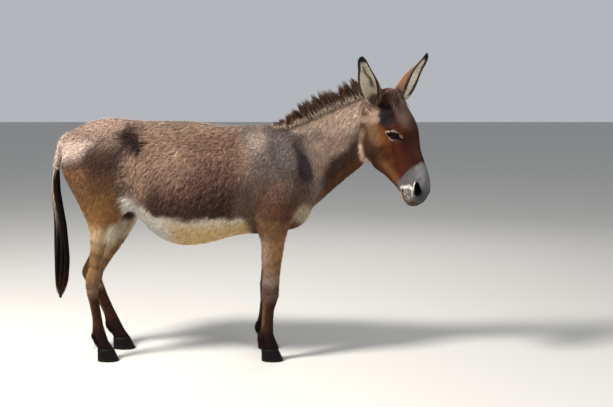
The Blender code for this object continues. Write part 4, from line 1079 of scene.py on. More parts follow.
def grow(coat, surface, density, length, half, height, seed, clump=0.0, spacing=0.02, pale=0.35, segments=2,
         wild=0.15, shade=1.0, project=True, root_shade=0.80, flat=0.55, sink=0.0012, upright=0.0):
    """Tufts over part of the skin. length, half width and height are numbers, or values at its points."""
    f = surface.fields
    sizes = {"len": length, "half": half, "tall": height}
    full = {k: np.broadcast_to(np.asarray(v, float), (len(surface.co),)) for k, v in sizes.items()}
    surface.fields = {**f, **full}
    r = surface.roots(density, seed)
    g = np.random.default_rng(seed + 1)
    n = len(r["co"])
    long = r["len"] * (1 + 0.28 * g.normal(size=n).clip(-1.5, 1.5))
    wide = r["half"] * (1 + 0.22 * g.normal(size=n).clip(-1.5, 1.5))
    tall = r["tall"] * (1 + 0.30 * g.normal(size=n).clip(-1.8, 1.8))
    turn = wild * g.normal(size=n)
    lie = turned(r["lie"], r["normal"], turn)
    tip = r["co"] + lie * long[:, None]
    tint = np.ones(n)
    if clump > 0:
        centre_density = density / max(density.max(), 1e-9) / spacing ** 2
        lock = surface.roots(centre_density, seed + 2)
        tree = KDTree(len(lock["co"]))
        for i, p in enumerate(lock["co"].tolist()):
            tree.insert(p, i)
        tree.balance()
        # a root belongs to the lock whose middle lies nearest and a little behind it
        near = np.array([tree.find(p)[1] for p in (r["co"] - lie * (long * 0.25)[:, None]).tolist()])
        random_lock = np.random.default_rng(seed + 3)
        m = len(lock["co"])
        turn = wild * 1.2 * random_lock.normal(size=m)
        lock_lie = turned(lock["lie"], lock["normal"], turn)
        reach = lock["len"] * (0.95 + 0.25 * random_lock.random(m))
        lock_tip = lock["co"] + lock_lie * reach[:, None]
        pull = clump * (0.75 + 0.35 * random_lock.random(m))[near]
        side = (r["co"] - lock["co"][near])
        tip = tip * (1 - pull)[:, None] + (lock_tip[near] + side * 0.12) * pull[:, None]
        height_of_lock = (lock["tall"] * (0.6 + 0.8 * random_lock.random(m)))[near]
        tall = tall * (1 - 0.5 * clump) + height_of_lock * 0.5 * clump
        tint *= (1 + 0.16 * random_lock.normal(size=m).clip(-2, 2))[near]
    tint *= 1 + 0.13 * g.normal(size=n).clip(-2, 2)
    if project:
        tip = surface.laid(tip, tall)
    else:
        tip = tip + r["normal"] * tall[:, None]
    root = r["co"] - r["normal"] * sink - lie * 0.0010
    if segments == 1:
        spine = np.stack([root, tip], 1)
        halves = wide[:, None]
    else:
        sway = np.cross(r["normal"], lie) * (0.07 * g.normal(size=n) * long)[:, None]
        bow = r["normal"] * (np.abs(tall) * 0.26 + long * 0.022)[:, None] + sway
        steps = np.linspace(0, 1, segments + 1)[1:-1]
        between = [root * (1 - t) + tip * t + bow * (4 * t * (1 - t)) for t in steps]
        spine = np.stack([root, *between, tip], 1)
        halves = wide[:, None] * np.array([0.8] + [1.0 - 0.25 * k for k in range(segments - 1)])[None]
    base = r["colour"] * (tint * shade)[:, None]
    # painted shade: roots darker by root_shade, for the shade between the tufts; tips lighter by pale, partly
    # painted light
    fade = np.linspace(0, 1, segments + 1) ** 1.3
    lighter = np.clip(base * (1 + pale) + 0.010 * pale, 0, 0.95)
    darker = base * root_shade
    colours = darker[:, None] * (1 - fade)[None, :, None] + lighter[:, None] * fade[None, :, None]
    coat.add(spine, r["normal"], halves, np.clip(colours, 0.003, 0.95), coat.chart(r["co"]), flat, upright)
    surface.fields = f


LYING = dict(segments=1, project=False, flat=0.22, upright=0.8)  # very short hair that lies on the skin


# ---------------------------------------------------------------- unwraps, each in its own square
def into(u, v):
    """A place on the map, kept off its border."""
    return np.stack([np.clip(u, 0.01, 0.99), np.clip(v, 0.01, 0.99)], -1)


def unwrap_trunk(p):
    """Round the barrel by angle, and along it."""
    angle = np.arctan2(p[:, 1], p[:, 2] - 0.88)
    return into((p[:, 0] + 0.95) / 1.75, angle / (2 * math.pi) + 0.5)


def unwrap_neck(p):
    """Along the line from breast to poll, and round it by angle."""
    line = unit(np.array((0.62, -0.11, 0.34)))
    q = p - (0.22, 0.0, 0.92)
    side = unit(np.array((line[1], -line[0], 0.0)))
    angle = np.arctan2(q @ side, q @ np.cross(side, line))
    return into((q @ line + 0.10) / 0.85, angle / (2 * math.pi) + 0.5)


def unwrap_head(p):
    """Along the head, and round it by angle."""
    h = to_head(p)
    return into((h[:, 0] + 0.10) / 0.68, np.arctan2(h[:, 1], 0.10 - h[:, 2]) / (2 * math.pi) + 0.5)


def unwrap_legs(p):
    """Four strips side by side: height along, angle round each leg."""
    x, y, z = p.T
    hind, left = x < LEGS_APART, y > 0
    fore_mid, hind_mid = (np.where(left, limb_mid(z, k, True), limb_mid(z, k, False)) for k in (False, True))
    mid = np.where(hind, hind_mid, fore_mid)
    angle = np.arctan2(y - np.where(left, LIMB_OUT, -LIMB_OUT), x - mid) / (2 * math.pi) + 0.5
    strip = hind * 2 + left
    return np.stack([(strip + 0.03 + 0.94 * np.clip(angle, 0, 1)) / 4, np.clip(z / 1.15, 0.01, 0.99)], -1)


# ---------------------------------------------------------------- materials
def new_material(name, rough, spec=0.5, sheen=0.0):
    mat = bpy.data.materials.new(name)
    mat.use_nodes = True
    base = mat.node_tree.nodes["Principled BSDF"]
    put(base, {"Roughness": rough, "Specular IOR Level": spec, "Sheen Weight": sheen})
    return mat, base


def put(node, values):
    for name, value in values.items():
        node.inputs[name].default_value = value


def add_grain(mat, base, where, noise_values, shades, bump):
    """The painted colour times a noise, which gives the bump too. shades: from, to, darkest, lightest."""
    nodes, links = mat.node_tree.nodes, mat.node_tree.links
    col = nodes.new("ShaderNodeAttribute")
    col.attribute_name = "Col"
    noise = nodes.new("ShaderNodeTexNoise")
    put(noise, noise_values)
    links.new(where, noise.inputs["Vector"])
    ramp = nodes.new("ShaderNodeMapRange")
    put(ramp, dict(zip(("From Min", "From Max", "To Min", "To Max"), shades)))
    links.new(noise.outputs["Fac"], ramp.inputs["Value"])
    mul = nodes.new("ShaderNodeVectorMath")
    mul.operation = "SCALE"
    links.new(col.outputs["Color"], mul.inputs[0])
    links.new(ramp.outputs["Result"], mul.inputs["Scale"])
    links.new(mul.outputs["Vector"], base.inputs["Base Color"])
    if bump:
        bumps = nodes.new("ShaderNodeBump")
        put(bumps, {"Strength": bump[0], "Distance": bump[1]})
        links.new(noise.outputs["Fac"], bumps.inputs["Height"])
        links.new(bumps.outputs["Normal"], base.inputs["Normal"])
    return mat


def object_space(mat):
    return mat.node_tree.nodes.new("ShaderNodeTexCoord").outputs["Object"]


def hair_material(name, rough=0.60, sheen=0.02, bump=0.25, grain=420.0, contrast=0.32, spec=0.13):
    """Colour from the painted coat, broken up by fine strands; small bump along the hair."""
    mat, base = new_material(name, rough, spec, sheen)
    shades = (0.30, 0.70, 1.0 - contrast, 1.0 + contrast * 0.8)
    return add_grain(mat, base, object_space(mat), {"Scale": grain, "Detail": 3.0}, shades, (bump, 0.001))


def skin_material():
    """Short flat fur: strands stretched along the lie of the hair, as colour and bump."""
    mat, base = new_material("skin", 0.70, 0.08)
    grain = mat.node_tree.nodes.new("ShaderNodeAttribute")
    grain.attribute_name = "Grain"
    noise = {"Scale": 1.0, "Detail": 4.0, "Roughness": 0.6}
    return add_grain(mat, base, grain.outputs["Vector"], noise, (0.32, 0.68, 0.62, 1.30), (0.55, 0.0015))


def hoof_material():
    """Horn with flat bands."""
    mat, base = new_material("horn", 0.50, 0.08)
    turn = mat.node_tree.nodes.new("ShaderNodeMapping")
    put(turn, {"Scale": (60, 60, 420)})
    mat.node_tree.links.new(object_space(mat), turn.inputs["Vector"])
    noise = {"Scale": 1.0, "Detail": 3.0}
    return add_grain(mat, base, turn.outputs["Vector"], noise, (0, 1, 0.4, 1.1), (0.5, 0.002))


def eye_material():
    mat, base = new_material("eye", 0.04, 0.06)
    return add_grain(mat, base, object_space(mat), {"Scale": 900.0}, (0, 1, 0.6, 1.5), None)


# ---------------------------------------------------------------- eyes and hooves
def make_eye(side, eye, material):
    """A wet ball with a bulging front, a dark iris and a lying pupil."""
    centre, along, rise, out = eye
    name = "eyeball_right" if side > 0 else "eyeball_left"
    bm = bmesh.new()
    bmesh.ops.create_uvsphere(bm, u_segments=64, v_segments=40, radius=1.0)
    mesh = bpy.data.meshes.new(name)
    bm.to_mesh(mesh)
    bm.free()
    q = points_of(mesh)
    # sphere's own Z is the way out
    front = step(q[:, 2], 0.62, 0.95)
    radius = EYE_BALL * (1 + 0.035 * front)
    a, b = q[:, 0], q[:, 1]
    set_points(mesh, centre + (along * a[:, None] + rise * b[:, None] + out * q[:, 2:3]) * radius[:, None])
    if side < 0:
        mesh.flip_normals()
    r = np.hypot(a, b)
    colour = rgb(0.003, 0.002, 0.002)
    colour = mix(colour, rgb(0.006, 0.003, 0.002), step(r, 0.60, 0.50))
    pupil = np.maximum(np.abs(a) / 0.36, np.abs(b) / 0.17)
    colour = layered(colour, [
        (rgb(0.001, 0.001, 0.002), step(pupil, 1.1, 0.9)),
        (rgb(0.002, 0.001, 0.001), step(r, 0.62, 0.80)),
    ])
    mesh.shade_smooth()
    paint(mesh, colour)
    mesh.materials.append(material)
    obj = make_object(name, mesh)
    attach(obj, "root")
    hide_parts("eye_right" if side > 0 else "eye_left")


def make_hoof(node, material):
    """Horn wall with growth rings and a rounded toe, over the CAD hoof's own shape."""
    made = remeshed(*welded(node, 0.0), 0.0022)
    co, edges = points_of(made), edges_of(made)
    co = taubin(co, edges, 5)
    set_points(made, co)
    n = normals_of(made)
    wall = step(co[:, 2], 0.003, 0.010) * step(np.abs(n[:, 2]), 0.9, 0.6)
    tilt = co[:, 2] + 0.10 * (co[:, 0] - co[:, 0].mean())
    rings = 0.00045 * np.sin(tilt * 2 * math.pi / 0.0062) + 0.0003 * wave(co, 70, 31)
    co = co + n * (rings * wall - 0.0002)[:, None]
    # flat on the ground
    co[:, 2] = np.where(co[:, 2] < 0.0022, 0.0, co[:, 2])
    set_points(made, co)
    base = rgb(0.005, 0.004, 0.004)
    base = layered(base, [
        (rgb(0.016, 0.011, 0.009), 0.55 * step(co[:, 2], 0.020, 0.004)),
        (rgb(0.014, 0.010, 0.008), 0.4 * step(co[:, 2], 0.048, 0.060)),
    ])
    made.shade_smooth()
    paint(made, base * (1 + 0.15 * wave(co, 40, 32))[:, None])
    made.materials.clear()
    made.materials.append(material)
    made.name = "horn_" + node
    obj = make_object("horn_" + node, made)
    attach(obj, "root")
    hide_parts(node)


# ---------------------------------------------------------------- long hair
def strands(coat, roots, directions, lengths, halves, normals, base, tip, seed, droop=0.0, segments=4,
            curl=0.0):
    """Free hair: grows along its direction, bends down by droop, with a little curl."""
    g = np.random.default_rng(seed)
    n = len(roots)
    t = np.linspace(0, 1, segments + 1)
    d = unit(directions)
    side = unit(np.cross(d, normals))
    phase = g.random((n, 1)) * 6.3
    spine = roots[:, None] + d[:, None] * (lengths[:, None] * t)[..., None]
    spine[..., 2] -= (droop * lengths)[:, None] * t ** 2
    bend = (curl * lengths)[:, None] * np.sin(t * 4.2 + phase) * t
    spine = spine + side[:, None] * bend[..., None]
    colours = base[:, None] * (1 - t ** 1.2)[None, :, None] + tip[:, None] * (t ** 1.2)[None, :, None]
    thick = halves[:, None] * (1 - 0.55 * t[:-1] ** 1.5)
    coat.add(spine, unit(normals), thick, np.clip(colours, 0.003, 0.95), coat.chart(roots), 0.5)


def crest_line(t):
    """The top of the neck from withers (0) to poll (1)."""
    xs = [.173, .253, .328, .418, .508, .593, .683, .700]
    ys = [.008, .005, -.004, -.022, -.045, -.072, -.096, -.100]
    zs = [1.128, 1.134, 1.164, 1.206, 1.246, 1.277, 1.281, 1.284]
    k = np.linspace(0, 1, len(xs))
    return np.stack([np.interp(t, k, v) for v in (xs, ys, zs)], -1)


def make_mane(material):
    """Upright spiky locks that lean back, dark with tan ends, and grey hair at their roots."""
    coat = Coat("mane_hair", lambda p: into((p[:, 0] - 0.10) / 0.65, (p[:, 1] + 0.16) / 0.22))
    g = np.random.default_rng(51)
    count = 46
    centres = np.clip((np.arange(count) + 0.5 + 0.9 * (g.random(count) - 0.5)) / count * 0.95, 0.01, 0.95)
    for k, c in enumerate(centres):
        rise = 0.101 * min(1, 0.24 + 2.7 * c) * min(1, 0.22 + 5 * (1 - c)) * (0.74 + 0.34 * g.random())
        n = int(104 * (0.5 + 0.5 * min(1, 4 * c)) * (0.7 + 0.6 * g.random()))
        t = np.clip(c + (g.random(n) - 0.5) * 2.5 / count, 0, 0.95)
        root = crest_line(t)
        across = (g.random(n) - 0.5) * 2
        root[:, 1] += across * 0.0160
        root[:, 2] -= 0.006 + 0.010 * across ** 2
        lean = np.array((-0.52, 0.02, 0.84)) + g.normal(size=3) * [0.11, 0.09, 0.02]
        goal = crest_line(np.array([c]))[0] + lean * rise
        own = root + lean * rise * (0.62 + 0.46 * g.random(n))[:, None]
        gather = (0.30 + 0.40 * g.random((n, 1)))
        aim = own * (1 - gather) + (goal + g.normal(size=(n, 3)) * 0.0030) * gather
        length = np.linalg.norm(aim - root, axis=1) * (0.66 + 0.38 * g.random(n) ** 0.6)
        edge = step(np.abs(across), 0.60, 0.95)[:, None] * (g.random((n, 1)) < 0.4)
        shade = 1 + 0.3 * g.normal(size=(n, 1)).clip(-1.5, 1.5)
        base = rgb(0.018, 0.008, 0.005) * shade * (1 - edge) + rgb(0.21, 0.155, 0.115) * edge
        brown = g.random((n, 1)) < 0.48
        tip = np.where(brown, rgb(0.066, 0.025, 0.009), rgb(0.012, 0.007, 0.005)) * shade
        normal = np.tile(np.array((0.3, -1.0, 0.0)), (n, 1)) + g.normal(size=(n, 3)) * 0.4
        strands(coat, root, aim - root, length, 0.0007 + 0.0006 * g.random(n), normal, base, tip, 60 + k,
                droop=-0.02, curl=0.020)
    # short pale hair where the mane meets the neck
    n = 1300
    t = g.random(n)
    root = crest_line(t)
    side = np.where(g.random(n) < 0.5, -1, 1)
    root[:, 1] += side * (0.0165 + 0.006 * g.random(n))
    root[:, 2] -= 0.014 + 0.010 * g.random(n)
    way = np.stack([-0.45 + 0.3 * g.normal(size=n), side * 0.25, 0.75 + 0.2 * g.normal(size=n)], -1)
    pale = rgb(0.34, 0.255, 0.195) * (1 + 0.25 * g.normal(size=(n, 1)).clip(-1.5, 1.5))
    outward = np.stack([0 * t, side, 0.3 + 0 * t], -1)
    strands(coat, root, way, 0.018 + 0.032 * g.random(n) ** 1.5, np.full(n, 0.0006), outward,
            pale, pale * 1.1, 59, segments=2)
    obj = coat.build(material)
    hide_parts("mane")


def make_forelock(material):
    """Loose tan hair that falls from the poll between the ears."""
    coat = Coat("forelock_hair", unwrap_head)
    g = np.random.default_rng(71)
    n = 1300
    h = np.stack([-0.022 + 0.066 * g.random(n), (g.random(n) - 0.5) * 0.118, np.zeros(n)], -1)
    h[:, 2] = -0.002 + 0.011 * (np.abs(h[:, 1]) / 0.04) ** 2
    lock = np.floor(h[:, 1] / 0.0095 + 9 * h[:, 0] + 0.9 * g.random(n))
    turn = np.sin(lock * 2.7) * 0.42 + 0.22 * g.normal(size=n)
    aim = np.stack([np.full(n, 0.9), turn + h[:, 1] * 4, -0.04 - 0.22 * g.random(n)], -1)
    direction = aim[:, :1] * ALONG + aim[:, 1:2] * RIGHT + aim[:, 2:] * BELOW
    length = (0.016 + 0.054 * g.random(n) ** 1.7) * (0.85 + 0.35 * np.sin(lock * 4.1))
    shade = (1 + 0.25 * g.normal(size=(n, 1)).clip(-1.5, 1.5)) * (0.80 + 0.45 * np.sin(lock * 1.9))[:, None]
    base = rgb(0.095, 0.048, 0.032) * shade
    tip = rgb(0.330, 0.210, 0.150) * shade
    normal = -BELOW + g.normal(size=(n, 3)) * 0.3
    strands(coat, from_head(h), direction, length, 0.0005 + 0.0004 * g.random(n), normal, base, tip, 72,
            droop=0.20, curl=0.10)
    coat.build(material)


TAIL = [
    (0.960, -0.8836, 0.018), (0.920, -0.8903, 0.018), (0.870, -0.8943, 0.020), (0.820, -0.8943, 0.021),
    (0.740, -0.8873, 0.024), (0.650, -0.8773, 0.029), (0.560, -0.8743, 0.034), (0.470, -0.8733, 0.036),
    (0.380, -0.8773, 0.032), (0.320, -0.8833, 0.024), (0.286, -0.8873, 0.010),
]


def make_tail(material):
    """The switch: long hair that starts along the lower dock and hangs in locks."""
    coat = Coat("tail_switch")
    g = np.random.default_rng(81)
    n = 1900
    rows = np.array(TAIL)[::-1]
    start = 0.735 + 0.235 * g.random(n) ** 0.8
    angle = g.random(n) * 2 * math.pi
    rear = np.cos(angle) < -0.35
    # it starts higher up on the side towards the body
    start = np.where(rear, 0.735 + (start - 0.735) * 0.72, start)
    lock = np.floor(angle / (2 * math.pi) * 13)
    locked = (lock + 0.5) / 13 * 2 * math.pi
    rim = np.sqrt(0.25 + 0.75 * g.random(n))
    length = (start - 0.292) * (0.40 + 0.60 * g.random(n) ** 0.6)
    segments = 8
    t = np.linspace(0, 1, segments + 1)
    z = start[:, None] - length[:, None] * t
    mid = np.interp(z, rows[:, 0], rows[:, 1])
    radius = np.interp(z, rows[:, 0], rows[:, 2])
    out = step(t, 0.0, 0.25)[None]
    thin = out * rim[:, None] + (1 - out) * 0.62
    gather = 0.62 * step(t, 0.15, 0.9)[None]
    swirl = 0.35 * np.sin(z * 9 + lock[:, None])
    a = angle[:, None] * (1 - gather) + locked[:, None] * gather + swirl * out
    spine = np.stack([mid + np.cos(a) * radius * thin, MIDDLE_Y + np.sin(a) * radius * thin * 1.15, z], -1)
    shade = 1 + 0.3 * g.normal(size=(n, 1, 1)).clip(-1.5, 1.5)
    black = mix(rgb(0.012, 0.008, 0.007), rgb(0.085, 0.026, 0.011), 0.9 * step(z, 0.44, 0.32))
    # body-coloured where it leaves the dock, tan along the rear edge, black in front
    behind = (step(np.cos(angle), 0.05, -0.40) * (g.random(n) < 0.85))[:, None] * step(z, 0.60, 0.82)
    high = step(z, 0.875, 0.945) * step(np.cos(a), 0.75, 0.00)
    colours = mix(mix(black, rgb(0.330, 0.245, 0.165), behind), CROUP * 1.2, high) * shade
    normal = np.stack([np.cos(angle), np.sin(angle), 0 * angle], -1)
    half = (0.0008 + 0.0008 * g.random(n))[:, None] * (1 - 0.5 * t[:-1] ** 2)
    uv = into(angle / (2 * math.pi), (start - 0.70) / 0.28)
    coat.add(spine, normal, half, np.clip(colours, 0.003, 0.9), uv)
    obj = coat.build(material)
    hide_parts("tail_hair")


def make_core(material):
    """The tail's fleshy core inside the hair, so that it isn't see-through."""
    rows = np.array(TAIL)[1:]
    turn = np.linspace(0, 2 * math.pi, 12, endpoint=False)
    points = []
    for z, x, r in rows:
        r = r * (0.66 if z > 0.80 else 0.56)
        points.append(np.stack([x + r * np.cos(turn), MIDDLE_Y + 1.1 * r * np.sin(turn), np.full(12, z)], -1))
    mesh = bpy.data.meshes.new("tail_core")
    mesh.from_pydata(np.vstack(points).tolist(), [], loft_faces(len(rows), 12))
    paint(mesh, np.tile(rgb(0.012, 0.009, 0.008), (len(mesh.vertices), 1)))
    mesh.shade_smooth()
    mesh.materials.append(material)
    obj = make_object("tail_core", mesh)
    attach(obj, "root")


# ---------------------------------------------------------------- build
def joined(name, meshes):
    bm = bmesh.new()
    for mesh in meshes:
        bm.from_mesh(mesh)
    whole = bpy.data.meshes.new(name)
    bm.to_mesh(whole)
    bm.free()
    return whole


def make_skin(mesh, colour, grain):
    """The skin with its ears, as one piece. Returns what the ears' hair needs."""
    ears, meshes, colours, grains = {}, [mesh], [colour], [grain]
    for side in EARS:
        pts, faces, share, inner, turn, info = ear_shell(side)
        tone = ear_tone(share, inner, turn, side)
        ear = bpy.data.meshes.new("ear")
        ear.from_pydata(pts.tolist(), [], faces)
        ears[side] = (ear, share, inner, turn, info, tone)
        meshes.append(ear)
        # the ear's skin darker than its hair: painted shade under the hair
        colours.append(tone * 0.9)
        frame_of_ear = np.stack([info["across"] * 600, info["opening"] * 600, info["axis"] * 130], -1)
        grains.append((pts - info["foot"]) @ frame_of_ear)
    whole = joined("skin", meshes)
    paint(whole, np.vstack(colours))
    layer = whole.attributes.new("Grain", "FLOAT_VECTOR", "POINT")
    layer.data.foreach_set("vector", np.vstack(grains).astype(np.float32).ravel())
    whole.shade_smooth()
    whole.materials.clear()
    whole.materials.append(skin_material())
    skin = make_object("skin", whole)
    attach(skin, "root")
    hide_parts(*FLESH, "ear_right", "ear_left")
    print("skin polygons", len(whole.polygons))
    return ears


def main():
    """Builds the skin, eyes, hooves, coat and long hair, in this order."""
    mesh, flesh_tree, face_label, eyes, gap, upper, hole = build_skin()
    co, edges = points_of(mesh), edges_of(mesh)
    weights = flesh_weights(co, edges, flesh_tree, face_label, 12)
    soft = unit(spread(unit(normals_of(mesh)), edges, 6))
    colour = eye_marks(markings(co, weights, soft), co, eyes, gap, upper)
    # painted shade deep inside the nostrils
    colour = mix(colour, NOSTRIL_SHADE, step(hole, 1.22, 1.02))
    lie = spread(lie_of(co, soft, weights), edges, 5)
    lie = unit(lie - soft * dot(lie, soft)[:, None])
    # the bump's strands: fine across the hair and long along it
    body_grain = co * [420, 420, 90]
    head_grain = to_head(co)[:, [1, 2, 0]] * [700, 700, 160]
    is_head = np.clip((weights[:, 2] + weights[:, 3]) * 2 - 0.5, 0, 1)
    grain = np.where(is_head[:, None] > 0.5, head_grain, body_grain)
    # the skin, seen between the tufts, darker than the coat: painted shade under the hair
    ears = make_skin(mesh, colour * (0.80 + 0.14 * face_share(co, weights))[:, None], grain)

    eye_mat = eye_material()
    for s in (1, -1):
        make_eye(s, eyes[s], eye_mat)
    horn = hoof_material()
    for node in ("hoof_front_right", "hoof_front_left", "hoof_hind_right", "hoof_hind_left"):
        make_hoof(node, horn)

    surface = Surface(mesh, {"normal": soft, "lie": lie, "colour": colour})
    make_coat(surface, weights, gap, hole)
    make_ear_hair(ears)
    dark = hair_material("long_hair", rough=0.50, sheen=0.0, bump=0.1, grain=260, contrast=0.3, spec=0.08)
    make_mane(dark)
    make_forelock(dark)
    make_tail(dark)
    make_core(dark)
    make_whiskers(eyes, dark, surface)


def ear_tone(share, inner, turn, side):
    """Outer back, dark rim and tip, pale inside with a dark streak."""
    back = EAR_BACK
    back = layered(back, [
        (rgb(0.600, 0.380, 0.210), 0.7 * step(share, 0.35, 0.55) * step(turn * EAR_FRONT[side], 0.0, -0.3)),
        (DUN * 1.1, step(share, 0.34, 0.10)),
        (BLACK * 2.2, 0.70 * bell(share, 0.15, 0.05) * step(np.abs(turn), 0.9, 0.5)),
        (BLACK * 1.3, step(share, 0.84, 0.93)),
        (EAR_IN * 0.8, 0.8 * step(share, 0.07, 0.00)),
    ])
    inside = EAR_IN
    inside = mix(inside, EAR_IN * 0.62, 0.8 * step(share, 0.45, 0.75))
    wander = (0.06 - 0.50 * share + 0.05 * np.sin(17 * share)) * EAR_FRONT[side]
    streak = bell(turn, wander, 0.15) * step(share, 0.16, 0.30) * step(share, 0.86, 0.70)
    inside = layered(inside, [
        (EAR_IN * [0.10, 0.08, 0.06], (0.96 if side == "right" else 0.30) * streak),
        (EAR_IN * 0.45, 0.7 * step(share, 0.12, 0.02) * step(np.abs(turn), 0.8, 0.5)),
    ])
    front = step(turn * EAR_FRONT[side], 0.50, 0.68) * step(share, 0.66, 0.44)
    inside = layered(inside, [
        (rgb(0.110, 0.048, 0.026), 0.85 * front),
        (BLACK * 1.3, step(share, 0.83, 0.91)),
    ])
    front = step(turn * EAR_FRONT[side], 0.25, 0.55) * step(share, 0.80, 0.55)
    back = mix(back, rgb(0.085, 0.036, 0.020), 0.85 * front)
    tone = mix(back, inside, inner)
    wide = 0.86 - 0.30 * step(share, 0.50, 0.95)
    rim = step(np.abs(turn), wide - 0.03, wide + 0.03) * step(share, 0.10, 0.20)
    return mix(tone, BLACK * 1.3, 0.95 * rim)


def make_coat(surface, weights, gap, hole):
    """Tufts over trunk, neck, legs and head, each piece under 200,000 triangles."""
    co = surface.co
    x, y, z = co.T
    s, d = to_head(co)[:, 0], to_head(co)[:, 2]
    w = {name: weights[:, k] for k, name in enumerate(FLESH)}
    legs_up = sum(v for k, v in w.items() if "leg" in k and "upper" in k)
    legs_lo = sum(v for k, v in w.items() if "leg" in k and "lower" in k)
    face = face_share(co, weights)
    fur = hair_material("coat")
    short = hair_material("short_coat", rough=0.6, sheen=0.0, bump=0.15, grain=600, contrast=0.22, spec=0.06)

    # long locks over the barrel and loin, shorter flat hair fore and aft, smooth under the belly
    shaggy = step(x, 0.06, -0.04) * step(z, 1.17, 1.09) * step(x, -0.60, -0.50) * step(z, 0.70, 0.78)
    shaggy = np.maximum(shaggy, 0.35 * step(x, -0.46, -0.52) * step(z, 1.00, 1.06))
    belly = step(z, 0.72, 0.68) * w["trunk"] * step(x, 0.10, 0.02)
    length = (0.0160 + 0.017 * shaggy) * (1 + 0.15 * belly)
    half = 0.00088 + 0.00012 * shaggy
    tall = (0.0048 + 0.0050 * shaggy) * (1 - 0.15 * belly)
    body = np.clip(w["trunk"] + w["tail_dock"] * (z > 0.93), 0, 1) * (face < 0.5)
    rag = 0.022 * wave(co, 6.0, 77)
    at = x + rag
    zones = {"rear": at < FLANK[0], "flank": (at >= FLANK[0]) & (at < FLANK[1]), "front": at >= FLANK[1]}
    for k, (zone, inside) in enumerate(zones.items()):
        for side, right in (("right", True), ("left", False)):
            mask = body * inside * ((y < MIDDLE_Y) if right else (y >= MIDDLE_Y))
            coat = Coat("coat_" + zone + "_" + side, unwrap_trunk)
            seed = 100 + 40 * k + (0 if right else 200)
            under = mask * (7000 + 4000 * (1 - shaggy))
            grow(coat, surface, under, length * 0.8, half, tall * 0.62, seed,
                 clump=0.25, spacing=0.014, pale=0.12, shade=0.84)
            grow(coat, surface, mask * shaggy * 23000, length, half, tall, seed + 10,
                 clump=0.74, spacing=0.0165, pale=0.30, segments=3, wild=0.25)
            grow(coat, surface, mask * (1 - shaggy) * 23000, length, half, tall, seed + 20,
                 clump=0.40, spacing=0.0110, pale=0.20)
            coat.build(fur)
    # neck
    coat = Coat("coat_neck", unwrap_neck)
    mask = w["neck"] * (1 - step(face, 0.3, 0.6))
    upper_neck = step(z - (1.03 + (x - 0.40) * 0.42), -0.03, 0.06)
    near_face = step(face, 0.0, 0.4)
    short_by = 1 - 0.45 * near_face
    grow(coat, surface, mask * 24000, (0.0155 + 0.012 * upper_neck) * short_by, 0.0009,
         (0.0048 + 0.0030 * upper_neck) * short_by, 300, clump=0.35, spacing=0.012, pale=0.22, shade=0.9)
    grow(coat, surface, mask * (9000 + 13000 * upper_neck), (0.0160 + 0.016 * upper_neck) * short_by, 0.0009,
         (0.0048 + 0.0034 * upper_neck) * short_by, 310, clump=0.70, spacing=0.015, pale=0.26)
    coat.build(fur)
    # legs
    for name, hind in (("coat_legs_front", False), ("coat_legs_hind", True)):
        coat = Coat(name, unwrap_legs)
        seed = 400 if hind else 500
        mine = (x < LEGS_APART) if hind else (x >= LEGS_APART)
        mask = legs_up * mine
        thigh = step(z, 0.70, 0.85)
        grow(coat, surface, mask * 27000, 0.0125 + 0.004 * thigh, 0.00082, 0.0034 + 0.0016 * thigh, seed,
             clump=0.36, spacing=0.0105, pale=0.28)
        mask = legs_lo * mine * step(z, 0.060, 0.070)
        grow(coat, surface, mask * 48000, 0.0098, 0.0008, 0.0014, seed + 20,
             clump=0.25, spacing=0.008, pale=0.25, segments=1, project=False, root_shade=0.95, flat=0.30,
             sink=0.0008, upright=0.7)
        # longer hair at the back of each fetlock and down over the coronet
        mid = np.where(y > 0, limb_mid(z, hind, True), limb_mid(z, hind, False))
        heel = legs_lo * mine * step(x - mid, -0.004, -0.018) * step(np.abs(z - FETLOCK_AT), 0.035, 0.010)
        grow(coat, surface, heel * 60000, 0.026, 0.0008, 0.0060, seed + 40,
             clump=0.6, spacing=0.012, pale=0.2)
        band = legs_lo * mine * step(z, 0.085, 0.074) * step(z, 0.058, 0.064)
        grow(coat, surface, band * 60000, 0.014, 0.0008, 0.0030, seed + 60,
             clump=0.3, spacing=0.008, pale=0.2, project=False)
        coat.build(short)
    # head
    coat = Coat("coat_head", unwrap_head)
    mouth = path_distance(folded(co), MOUTH)[0]
    clear = step(gap, 0.0036, 0.0066) * step(mouth, 0.003, 0.007) * step(hole, 1.05, 1.40)
    cheeks = step(s, 0.27, 0.16) * step(d, 0.10, 0.15)
    muzzle = step(s, 0.36, 0.40)
    mask = step(face, 0.30, 0.70) * clear
    near_eye = step(np.minimum(gap, 1), 0.030, 0.008)
    size = 0.0085 + 0.006 * cheeks + 0.006 * step(s, 0.05, 0.0)
    size = size * (1 - 0.45 * muzzle) * (1 - 0.45 * near_eye)
    thick = (0.00068 + 0.00017 * cheeks) * (1 - 0.25 * muzzle) * (1 - 0.25 * near_eye)
    tall = (0.0007 + 0.0012 * cheeks) * (1 - 0.4 * muzzle) * (1 - 0.4 * near_eye)
    grow(coat, surface, mask * 105000 * (1 + 0.3 * near_eye), size, thick, tall, 600,
         clump=0.18, spacing=0.007, pale=0.20, wild=0.16, root_shade=1.0, sink=0.0007, **LYING)
    # longer fluff round the foot of each ear
    fields = surface.fields
    for k, (base, reach, _) in enumerate(EARS.values()):
        axis = unit(np.array(reach))
        far = np.linalg.norm(co - from_head(base), axis=1)
        surface.fields = {**fields, "lie": unit(axis * 1.0 + fields["lie"] * 0.35 + fields["normal"] * 0.2)}
        fluff = step(far, 0.052, 0.034) * step(face, 0.1, 0.4)
        grow(coat, surface, fluff * 62000, 0.0215, 0.0007, 0.0030, 640 + 20 * k,
             clump=0.35, spacing=0.009, pale=0.30, project=False, wild=0.30, root_shade=0.9)
    surface.fields = fields
    coat.build(short)


